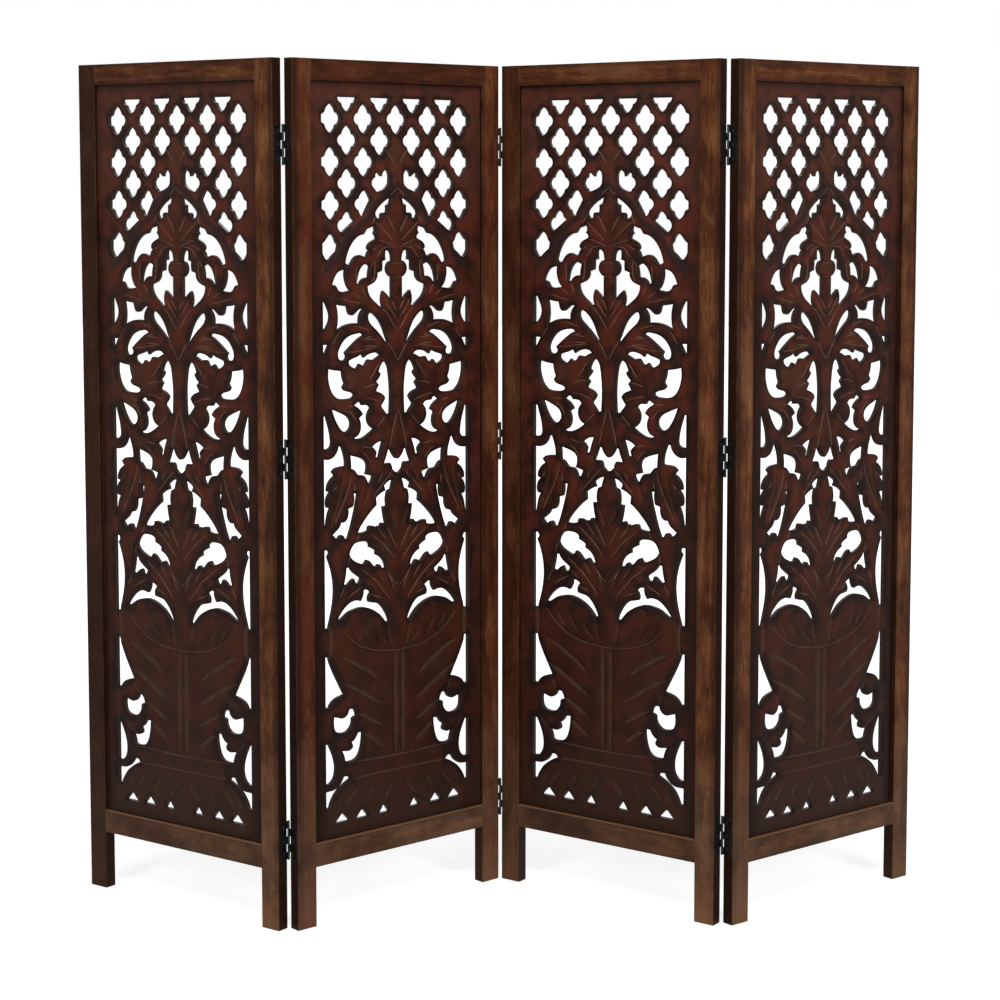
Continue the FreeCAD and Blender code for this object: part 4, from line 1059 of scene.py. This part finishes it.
def carving_at(point):
    """Depth of the front and of the back, distance to an opening, and the colour shares.

    The shares are those of the tan veins, of the arch's band and of the olive hollows.
    """
    gap = outline_distance(point)
    foliage, field, band = zone_at(point)
    level = field * (LATTICE_DEPTH * (1 - foliage) - FOLIAGE_RISE * foliage - BAND_RISE * band)
    up = (point[1] - FIELD_FOOT) / FIELD_HEIGHT * THOUSAND
    above_foot_row = smooth_step((up - FOOT_ROW_SHARE) / FOOT_ROW_FADE_SHARE)
    carved = foliage * field * above_foot_row
    round_off = (rounding(gap, *LATTICE_ROUND) * (1 - carved)
                 + rounding(gap, *FOLIAGE_ROUND) * carved)
    index, distance = nearest(stroke_tree, point)
    width, depth, colour_share, hollow = stroke_facts[index]
    cut = max(0.0, 1 - distance / (width / 2))
    shape = cut * (2 - cut) if hollow else cut
    sunk = math.exp(-(distance / SINK_REACH) ** 2) * SINK_DEPTH
    stroke = depth * shape * min(1.0, width / VEIN_WIDTH) + sunk
    behind = rounding(gap, *BACK_ROUND) + stroke * BACK_SHARE
    stain_and_shade_gap = gap + FOOT_ROW_CLEAN * (1 - above_foot_row)
    vein = 0.0 if hollow else cut * colour_share
    olive = math.sqrt(cut) * colour_share if hollow else 0.0
    return level + round_off + stroke, behind, stain_and_shade_gap, vein, band * field, olive


print("depth in the vase", round(carving_at(vase_point)[0] / MM, 2), "mm")

# %% [markdown]
# ## Carving: the mesh
#
# The carved face needs small triangles where the surface turns and may have large ones on
# the flats. A fine even grid would be simpler but many times heavier, with ragged rims. A
# constrained triangulation does better: it keeps every outline and every cut as edges, and
# fills in with the points it is given. Rings of points follow the outlines a few millimetres
# in, and a coarse grid fills the rest. The triangles in the openings are thrown away. The
# back is the same carving seen from behind, and walls join the two along the open edges.

# %% Test which points are in the wood
# points are tested in strips of so many, so that each strip meets few edges
STRIP_POINTS = 120


def inside_wood(points):
    """True for each point that lies in the wood and not in an opening."""
    starts, ends = outline_points[outline_edges[:, 0]], outline_points[outline_edges[:, 1]]
    low = np.minimum(starts[:, 1], ends[:, 1])
    high = np.maximum(starts[:, 1], ends[:, 1])
    order = np.argsort(points[:, 1])
    found = np.zeros(len(points), bool)
    for part in np.array_split(order, len(points) // STRIP_POINTS + 1):
        heights = points[part, 1]
        near = (low <= heights.max()) & (high >= heights.min())
        first, second = starts[near], ends[near]
        crosses = (first[None, :, 1] > heights[:, None]) != (second[None, :, 1] > heights[:, None])
        rise = second[:, 1] - first[:, 1]
        rise = np.where(np.abs(rise) < TINY, TINY, rise)
        at = first[:, 0] + (heights[:, None] - first[:, 1]) / rise * (second[:, 0] - first[:, 0])
        hits = crosses & (at > points[part, 0][:, None])
        found[part] = hits.sum(axis=1) % 2 == 1
    return found


print("the arch is in the wood at", int(inside_wood(arch_line).sum()), "of its points")

# %% Rings round the openings
RING_OFFSETS = (0.5 * MM, 1.7 * MM, 3.6 * MM, 6.2 * MM)
RING_SPACING = 3.2 * MM
# a ring's point is left out where it crowds the last one or nears another opening
RING_CROWDED = 0.7 * RING_SPACING
RING_CLEAR_SHARE = 0.93


def across_lines(along):
    """The unit directions to the left of the given ones."""
    left = np.stack([-along[:, 1], along[:, 0]], axis=1)
    return left / np.maximum(np.linalg.norm(left, axis=1), TINY)[:, None]


def outline_normals():
    """For each outline point, the direction into the wood."""
    along = outline_points[outline_edges[:, 1]] - outline_points[outline_edges[:, 0]]
    left = across_lines(along)
    inward = np.zeros_like(outline_points)
    np.add.at(inward, outline_edges[:, 0], left)
    np.add.at(inward, outline_edges[:, 1], left)
    return inward / np.maximum(np.linalg.norm(inward, axis=1), TINY)[:, None]


def ring_points():
    """Points that follow the openings at each ring's offset into the wood."""
    normals = outline_normals()
    start_normals, end_normals = normals[opening_edges[:, 0]], normals[opening_edges[:, 1]]
    rings = []
    for offset in RING_OFFSETS:
        last = None
        for start, end, normal, next_normal in zip(
                edge_starts, edge_ends, start_normals, end_normals):
            count = max(1, int(round(np.linalg.norm(end - start) / RING_SPACING)))
            for share in np.arange(count) / count:
                way = normal + (next_normal - normal) * share
                point = start + (end - start) * share + way * offset
                near = last is not None and np.linalg.norm(point - last) < RING_CROWDED
                if not near and outline_distance(point) > RING_CLEAR_SHARE * offset:
                    rings.append(point)
                    last = point
    return np.array(rings)


rings = ring_points()
print("points in rings", len(rings))

# %% Lines that the triangles have to keep
GRID_SPACING = 8.0 * MM
BAND_LINE_SHARES = (0.16, 0.5, 0.84, 1.0)
HOLLOW_LINE_SHARES = (0.0, 0.5, 1.0, -0.5, -1.0)
VEIN_LINE_SHARES = (0.0, 1.0, -1.0)
LINE_EDGE_ROOM = 0.5 * MM


def cut_lines():
    """The lines that the triangulation has to keep: strokes, arch edge and border line."""
    lines = [arch_line, arch_line + np.array((0.0, STEP_WIDTH))]
    lines += [arch_line - np.array((0.0, BAND_WIDTH * share)) for share in BAND_LINE_SHARES]
    for line, widths, _, _, hollow in STROKES:
        half = (widths / 2)[:, None]
        left = across_lines(np.gradient(line, axis=0))
        lines += [line + left * half * share
                  for share in (HOLLOW_LINE_SHARES if hollow else VEIN_LINE_SHARES)]
    side, top = BORDER_LINE_SHARE, BORDER_TOP_SHARE
    corners = np.array([field_point(corner)
                        for corner in ((-side, 0), (-side, top), (side, top), (side, 0))])
    for inset in (0.0, STEP_WIDTH):
        inner = corners + np.array([(inset, 0), (inset, -inset), (-inset, -inset), (-inset, 0)])
        for first, second in zip(inner, inner[1:]):
            count = int(np.linalg.norm(second - first) / GRID_SPACING) + 1
            lines.append(first + (second - first) * np.linspace(0, 1, count)[:, None])
    return lines


def kept_lines():
    """The points and edges of those lines, without what lies in or too near an opening."""
    points, edges = [], []
    for line in cut_lines():
        keep = inside_wood(line)
        keep &= np.array([outline_distance(point) > LINE_EDGE_ROOM for point in line])
        joined = False
        for index in range(len(line) - 1):
            if keep[index] and keep[index + 1]:
                if not joined:
                    points.append(line[index])
                points.append(line[index + 1])
                edges.append((len(points) - 2, len(points) - 1))
            joined = keep[index] and keep[index + 1]
    return points, edges


line_points, line_edges = kept_lines()
print("points on lines", len(line_points))

# %% A grid for the flats
# no loose point comes nearer than this to a line, or to a ring from the grid
LINE_ROOM = 1.3 * MM
GRID_EDGE_ROOM = RING_OFFSETS[-1] + 2 * MM


def grid_points():
    """A coarse grid over the board, with every other row shifted by half a step."""
    across = np.arange(board_low[0] + GRID_SPACING, board_high[0], GRID_SPACING)
    up = np.arange(board_low[1] + GRID_SPACING, board_high[1], GRID_SPACING)
    grid = np.array([(x, z) for z in up for x in across])
    odd_row = np.arange(len(grid)) // len(across) % 2 == 1
    grid[:, 0] += np.where(odd_row, GRID_SPACING / 2, 0.0)
    grid = grid[grid[:, 0] < board_high[0] - GRID_SPACING / 2]
    grid = grid[inside_wood(grid)]
    return np.array([point for point in grid if outline_distance(point) > GRID_EDGE_ROOM])


grid = grid_points()
line_tree = tree_of(line_points)
loose = np.array([point for point in np.vstack([rings, grid])
                  if nearest(line_tree, point)[1] > LINE_ROOM])
print("on the grid", len(grid), "kept with the rings", len(loose))

# %% Triangulate the face
SAME_CORNER = 1e-7
SLIVER_AREA = 1e-11


def carved_face():
    """Triangles over the wood of the front face, and their points, in panel metres."""
    points = np.vstack([outline_points, np.array(line_points), loose])
    first_line = len(outline_points)
    edges = [tuple(int(end) for end in edge) for edge in outline_edges]
    edges += [(first_line + start, first_line + end) for start, end in line_edges]
    shift = Vector((float(board_low[0]), float(board_low[1])))
    flat = [Vector((float(x), float(z))) - shift for x, z in points]
    made = geometry.delaunay_2d_cdt(flat, edges, [], 0, SAME_CORNER, False)
    corners = np.array([(point.x, point.y) for point in made[0]]) + np.array(shift)
    triangles = np.array([face for face in made[2] if len(face) == 3])
    first, second, third = (corners[triangles[:, index]] for index in range(3))
    area = ((second - first)[:, 0] * (third - first)[:, 1]
            - (second - first)[:, 1] * (third - first)[:, 0]) / 2
    turned = area < 0
    triangles[turned] = triangles[turned][:, ::-1]
    kept = inside_wood((first + second + third) / 3) & (np.abs(area) > SLIVER_AREA)
    return corners, triangles[kept]


face_points, face_triangles = carved_face()
print("carved face:", len(face_triangles), "triangles")

# %% [markdown]
# ## Carving: from a face to a board
#
# The flat face now gets its depth, point by point, and a back and walls, so that it is a
# closed solid like the sawn board. A displacement modifier could raise it, but would need an
# image or a texture for what is already worked out here. The mesh also carries five values
# for the colours, stain and painted light and shade alike: the distance to the nearest
# opening, how much of a tan vein, of the arch's band and of an olive hollow there is, and
# which faces are sawn walls. The rims turn by more than the sharp angle and stay crisp, and
# the rest is shaded smooth.

# %% Raise it into a board
SHARP_ANGLE = math.radians(48)
# where carving_at has each of the values that the material reads
BOARD_VALUES = {"edge_gap": 2, "vein": 3, "band": 4, "hollow": 5}


def open_edges(triangles):
    """The edges that only one triangle uses, in that triangle's direction."""
    directed = np.vstack([triangles[:, (0, 1)], triangles[:, (1, 2)], triangles[:, (2, 0)]])
    ordered = np.sort(directed, axis=1)
    _, first, counts = np.unique(ordered, axis=0, return_index=True, return_counts=True)
    return directed[first[counts == 1]]


def add_value(mesh, name, domain, values):
    """Stores one number for each point or face, which the material reads by name."""
    mesh.attributes.new(name, "FLOAT", domain).data.foreach_set("value", values)


def carved_board_mesh():
    """The carved board as a closed mesh in panel coordinates."""
    used = np.unique(face_triangles)
    renumber = np.zeros(len(face_points), int)
    renumber[used] = np.arange(len(used))
    points, triangles = face_points[used], renumber[face_triangles]
    facts = np.array([carving_at(point) for point in points])
    count = len(points)
    front = np.stack([points[:, 0], BOARD_FRONT + facts[:, 0], points[:, 1]], axis=1)
    back = np.stack([points[:, 0], BOARD_BACK - facts[:, 1], points[:, 1]], axis=1)
    rim = open_edges(triangles)
    walls = np.stack([rim[:, 1], rim[:, 0], rim[:, 0] + count, rim[:, 1] + count], axis=1)
    faces = triangles.tolist() + (triangles[:, ::-1] + count).tolist() + walls.tolist()
    mesh = bpy.data.meshes.new("carved_board")
    mesh.from_pydata(np.vstack([front, back]).tolist(), [], faces)
    for name, column in BOARD_VALUES.items():
        add_value(mesh, name, "POINT", np.tile(facts[:, column], 2).astype(np.float32))
    is_wall = np.arange(len(faces)) >= 2 * len(triangles)
    add_value(mesh, "wall", "FACE", is_wall.astype(np.float32))
    mesh.shade_smooth()
    mesh.set_sharp_from_angle(angle=SHARP_ANGLE)
    mesh.update()
    return mesh


board_mesh = carved_board_mesh()
print("carved board:", len(board_mesh.vertices), "points,", len(board_mesh.polygons), "faces")

# %% [markdown]
# ## The board's wood: its colours
#
# The boards are redder and darker than the frames. The stain varies in patches, painted light
# makes it paler towards the head, painted shade makes it darker towards the foot, and
# painted shade with some stain darkens it beside the frame. A picture painted on the board
# could show that, but would be tied to one size. Here it is a few layers over the grain, each
# laid by the place on the board, in metres across and up.

# %% Board colours
BOARD_DEEP = stain(44, 24, 18)
BOARD_RED = stain(75, 34, 25)
BOARD_WARM = stain(66, 41, 29)
# painted light towards the head
BOARD_PAINTED_HEAD_LIGHT = stain(92, 60, 48)
# painted shade towards the foot
BOARD_PAINTED_LOW_SHADE = stain(46, 27, 19)
BOARD_FOOT = stain(48, 33, 26)
# stain with painted shade at the rims
BOARD_RIM_STAIN_AND_SHADE = stain(29, 21, 20)
# dark stain with painted grey sheen on the arch's band
BOARD_BAND_STAIN_AND_SHEEN = stain(38, 29, 29)
# the sawn walls' colour carries painted light
BOARD_WALL_WITH_PAINTED_LIGHT = stain(60, 49, 42)
BOARD_VEIN = stain(116, 90, 74)
BOARD_OLIVE = stain(66, 52, 38)
# painted shade beside the frame
BOARD_SHADE = stain(22, 11, 8)
print("board colours from", BOARD_DEEP[:3], "to", BOARD_RED[:3])

# %% Grain and height of the board
BOARD_PATCHES = {"scale": 19.0, "detail": 3.0, "roughness": 0.55}
# weights of fibre, figure and patches
BOARD_TONE_WEIGHTS = (0.04, 0.14, 0.82)
RED_PATCH_SPAN = (0.38, 0.62)
WARM_SPAN = (0.48, 0.74)
WARM_SHARE = 0.75
BOARD_GROOVE_SPAN = (0.34, 0.27)
BOARD_GROOVE_SHARE = 0.15
# painted light makes the board paler towards its head
HEAD_LIGHT_SHARES = (1.36, 1.80, 0.0, 0.28)
# painted shade darkens the board towards its foot
LOW_SHADE_SPAN = (1.15, 0.46)
LOW_SHADE_SHARE = 0.56
FOOT_SHARES = (0.42, 0.24, 0.0, 0.62)


def board_grain(tree, grain, patches, height, warm):
    """The board's colour before its rims and cuts, its pore grooves, and its painted low shade."""
    figure, fibre, pore, blotch = grain
    tone = weighed(tree, *zip((fibre, figure, patches), BOARD_TONE_WEIGHTS))
    warm_patch = spread(tree, calc(tree, "ADD", blotch, warm), *WARM_SPAN)
    grooves = spread(tree, pore, *BOARD_GROOVE_SPAN)
    low = spread(tree, height, *LOW_SHADE_SPAN)
    colour = layered(tree, BOARD_DEEP,
                     (spread(tree, tone, *RED_PATCH_SPAN), BOARD_RED),
                     (times(tree, warm_patch, WARM_SHARE), BOARD_WARM),
                     (times(tree, grooves, BOARD_GROOVE_SHARE), BOARD_DEEP),
                     # painted light towards the head
                     (spread(tree, height, *HEAD_LIGHT_SHARES), BOARD_PAINTED_HEAD_LIGHT),
                     # painted shade towards the foot
                     (times(tree, low, LOW_SHADE_SHARE), BOARD_PAINTED_LOW_SHADE),
                     (spread(tree, height, *FOOT_SHARES), BOARD_FOOT))
    return colour, grooves, low


print("the board darkens below", max(LOW_SHADE_SPAN), "m")

# %% Painted shade beside the frame
# the part of the board that shows inside the frame
VISIBLE_HALF_WIDTH = 0.2315
VISIBLE_LOW = 0.178
VISIBLE_HIGH = 1.7845
# painted shade, with some stain, reaches this far in from the frame
SHADE_SPAN = (52 * MM, 6 * MM)
SHADE_HEIGHT_SHARES = (1.62, 1.15, 0.15, 1.0)
END_SHADE_SHARES = (26 * MM, 0.0, 0.0, 0.45)


def frame_shade(tree, where, left, right):
    """Painted shade beside the frame, with some stain, by side and height."""
    height = where.outputs["Z"]
    across = calc(tree, "SUBTRACT", where.outputs["X"], FIELD_MIDDLE)
    from_left = calc(tree, "ADD", across, VISIBLE_HALF_WIDTH)
    from_right = calc(tree, "SUBTRACT", VISIBLE_HALF_WIDTH, across)
    from_end = calc(tree, "MINIMUM", calc(tree, "SUBTRACT", height, VISIBLE_LOW),
                    calc(tree, "SUBTRACT", VISIBLE_HIGH, height))
    sides = calc(tree, "MAXIMUM", spread(tree, from_left, *SHADE_SPAN, 0.0, left),
                 spread(tree, from_right, *SHADE_SPAN, 0.0, right))
    sides = times(tree, sides, spread(tree, height, *SHADE_HEIGHT_SHARES))
    return calc(tree, "MAXIMUM", sides, spread(tree, from_end, *END_SHADE_SHARES))


print("the dark reaches", round(SHADE_SPAN[0] / MM), "mm in from the frame")

# %% [markdown]
# ## The board's wood: rims, cuts and walls
#
# Stain has settled round the openings, and painted shade stands for the shade on their
# rounded slopes, so the wood goes from red brown on the flats to a grey black at the rims.
# The arch's band is dark stain with a painted grey sheen along its crest, the sawn walls are
# a grey brown lightened with painted light, the bottoms of the veins are tan and the gouged
# hollows olive. The mesh's five values say where each of these lies, so the colours follow
# the carving exactly and need no painted image. The tan is rubbed unevenly.

# %% Board wood material
RIM_SPREAD = 7.0 * MM
RIM_SPAN = (12.0 * MM, 1.5 * MM)
RIM_UNEVENNESS = 34.0 * MM
RIM_SHARE = 0.80
# the band's colour is dark stain with a painted grey sheen, strongest at its crest
BAND_SHARE = 0.84
RUBBED = (55.0, 3.0)
RUBBED_SHARES = (0.25, 0.62, 0.45, 1.0)
VEIN_SPAN = (0.05, 0.55)
BARE_SHARE = 0.70
HOLLOW_SHARES = (0.05, 0.85, 0.0, 0.85)
BOARD_GLOSS = 0.05
# how much the fibre adds to the roughness, and the least of it
BOARD_ROUGHNESS = (0.14, 0.22)
# weights of fibre and pore grooves
BOARD_RELIEF_WEIGHTS = (0.4, -0.6)
BOARD_BUMP = (0.12, 0.4 * MM)


def stored(tree, name):
    """A value that the board's mesh carries."""
    return add(tree, "Attribute", {"attribute_name": name}).outputs["Fac"]


def rim_stain_and_shade(tree, patches, low):
    """The share of dark stain and painted shade round the openings, uneven, wider towards the
    foot.
    """
    uneven = calc(tree, "SUBTRACT", patches, 0.5)
    wide = calc(tree, "MULTIPLY_ADD", uneven, RIM_UNEVENNESS, stored(tree, "edge_gap"))
    # the painted shade low down also widens the dark rims
    wide = calc(tree, "MULTIPLY_ADD", low, -RIM_SPREAD, wide)
    return times(tree, spread(tree, wide, *RIM_SPAN), RIM_SHARE)


def board_wood(name, shift, warm, left, right):
    """Stained board wood. warm adds brown patches, left and right paint shade beside the frame."""
    material, tree, shader = new_material(name)
    coordinates = add(tree, "TexCoord").outputs["Object"]
    where = add(tree, "SeparateXYZ", None, Vector=coordinates)
    grain = wood_grain(tree, coordinates, True, shift)
    patches = noise(tree, coordinates, **BOARD_PATCHES)
    colour, grooves, low = board_grain(tree, grain, patches, where.outputs["Z"], warm)
    rubbed = spread(tree, noise(tree, coordinates, *RUBBED), *RUBBED_SHARES)
    bare = times(tree, spread(tree, stored(tree, "vein"), *VEIN_SPAN), BARE_SHARE)
    colour = layered(
        tree, colour,
        # stain and painted shade round the openings
        (rim_stain_and_shade(tree, patches, low), BOARD_RIM_STAIN_AND_SHADE),
        # dark stain and painted sheen on the arch's band
        (times(tree, stored(tree, "band"), BAND_SHARE), BOARD_BAND_STAIN_AND_SHEEN),
        # painted shade beside the frame, with some stain
        (frame_shade(tree, where, left, right), BOARD_SHADE),
        (times(tree, bare, rubbed), BOARD_VEIN),
        (times(tree, spread(tree, stored(tree, "hollow"), *HOLLOW_SHARES), rubbed), BOARD_OLIVE),
        # painted light on the sawn walls
        (stored(tree, "wall"), BOARD_WALL_WITH_PAINTED_LIGHT))
    shader.inputs["Specular IOR Level"].default_value = BOARD_GLOSS
    shader.inputs["Specular Tint"].default_value = GLOSS_TINT
    fibre = grain[1]
    relief = weighed(tree, *zip((fibre, grooves), BOARD_RELIEF_WEIGHTS))
    roughness = calc(tree, "MULTIPLY_ADD", fibre, *BOARD_ROUGHNESS)
    finish(tree, shader, colour, roughness, relief, *BOARD_BUMP)
    return material


print("board gloss", BOARD_GLOSS, "and rims dark up to", round(RIM_SPAN[0] / MM), "mm in")

# %% [markdown]
# ## Hanging the boards
#
# One carved mesh serves all four panels, as one pattern served the carver. Each board gets a
# copy and a stain of its own, since no two are alike, and is placed by its panel's matrix.
# It then stands for the CAD board in its panel, and rides with that panel when the screen folds.

# %% Hang the boards in their frames
# start of the noises, warmth, and painted shade beside the left and the right stile
BOARD_FACTS = {
    1: (21.0, 0.03, 0.45, 0.70), 2: (33.0, 0.00, 0.85, 0.10),
    3: (47.0, -0.03, 0.02, 0.55), 4: (58.0, 0.03, 0.90, 0.75),
}


def hang_board(number):
    """Puts a carved and stained board into its panel, in place of the CAD board."""
    mesh = board_mesh.copy()
    mesh.name = f"carved_board_{number}"
    mesh.materials.append(board_wood(f"stained_board_{number}", *BOARD_FACTS[number]))
    board = bpy.data.objects.new(f"carved_board_{number}", mesh)
    bpy.context.scene.collection.objects.link(board)
    board.matrix_world = PLACES[number][0]
    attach(board, f"panel_{number}")
    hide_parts(f"carved_panel_{number}")
    return board


boards = [hang_board(number) for number in PANELS]
print("boards hung:", [board.name for board in boards])

# %% [markdown]
# ## The studio
#
# The photograph is a cut-out look: plain white all round, and soft light from both sides of
# the camera, so neither set of panels is in the dark. Stronger lamps would turn the floor
# white, and the dark wood grey with it. So the white comes from the colour that the camera
# sees, and not from more light. Mirror and glass rays see the same white. The floor is pale
# and keeps the screen's soft shadow.

# %% The white surround
WHITE = (1.0, 1.0, 1.0, 1.0)
WORLD_LIGHT = 0.27


def seen_share(tree):
    """One for rays from the camera, from gloss and through glass, else zero."""
    path = add(tree, "LightPath")
    share = calc(tree, "MAXIMUM", path.outputs["Is Camera Ray"], path.outputs["Is Glossy Ray"])
    return calc(tree, "MAXIMUM", share, path.outputs["Is Transmission Ray"])


def studio_world():
    """A dim even light that looks white."""
    world = bpy.data.worlds.new("studio_world")
    world.use_nodes = True
    tree = world.node_tree
    light = tree.nodes["Background"]
    light.inputs["Color"].default_value = WHITE
    light.inputs["Strength"].default_value = WORLD_LIGHT
    white = add(tree, "Background", None, Color=WHITE, Strength=1.0)
    both = add(tree, "MixShader", None, Fac=seen_share(tree), i1=light.outputs[0],
               i2=white.outputs[0])
    tree.links.new(both.outputs[0], tree.nodes["World Output"].inputs["Surface"])
    return world


bpy.context.scene.world = studio_world()
bpy.context.scene.view_settings.view_transform = "Standard"
print("world light", WORLD_LIGHT)

# %% The floor
FLOOR_COLOUR = (0.86, 0.86, 0.86, 1.0)
FLOOR_ROUGHNESS = 0.9
FLOOR_SIZE = 40.0
FLOOR_DROP = 0.4 * MM
GLOW_SHARES = (1.6, 6.0, 0.50, 1.0)


def floor_finish():
    """A matt pale floor that glows towards white away from the screen, for the camera only."""
    material, tree, shader = new_material("pale_floor")
    shader.inputs["Base Color"].default_value = FLOOR_COLOUR
    shader.inputs["Roughness"].default_value = FLOOR_ROUGHNESS
    shader.inputs["Specular IOR Level"].default_value = 0.0
    here = add(tree, "TexCoord").outputs["Object"]
    away = add(tree, "VectorMath", {"operation": "LENGTH"}, i0=here).outputs["Value"]
    strength = times(tree, seen_share(tree), spread(tree, away, *GLOW_SHARES))
    glow = add(tree, "Emission", None, Color=WHITE, Strength=strength)
    both = add(tree, "AddShader", None, i0=shader.outputs[0], i1=glow.outputs[0])
    tree.links.new(both.outputs[0], tree.nodes["Material Output"].inputs["Surface"])
    return material


def studio_floor():
    """A large plain floor, a hair below the feet."""
    half = FLOOR_SIZE / 2
    mesh = bpy.data.meshes.new("studio_floor")
    corners = [(-half, -half), (half, -half), (half, half), (-half, half)]
    mesh.from_pydata([(x, y, -FLOOR_DROP) for x, y in corners], [], [(0, 1, 2, 3)])
    mesh.materials.append(floor_finish())
    floor = bpy.data.objects.new("studio_floor", mesh)
    bpy.context.scene.collection.objects.link(floor)
    return floor


floor = studio_floor()
print("floor of", FLOOR_SIZE, "m laid")

# %% The lamps
AIM = (0.0, 0.0, 0.9)
# place, size in metres and watts
LAMPS = {
    "side_left": ((-4.6, -7.0, 4.4), 2.4, 190.0),
    "side_right": ((4.8, -6.8, 4.0), 2.4, 230.0),
    "front_top": ((0.2, -2.8, 3.5), 1.3, 62.0),
    "back_top": ((0.0, 2.8, 3.6), 2.4, 70.0),
}


def soft_lamp(name, place, size, watts):
    """A square area lamp that looks at the middle of the screen."""
    data = bpy.data.lights.new(name, "AREA")
    data.shape = "SQUARE"
    data.size = size
    data.energy = watts
    lamp = bpy.data.objects.new(name, data)
    lamp.location = place
    lamp.rotation_euler = (Vector(AIM) - Vector(place)).to_track_quat("-Z", "Y").to_euler()
    bpy.context.scene.collection.objects.link(lamp)
    return lamp


lamps = [soft_lamp(name, *facts) for name, facts in LAMPS.items()]
print("lamps lit:", len(lamps))
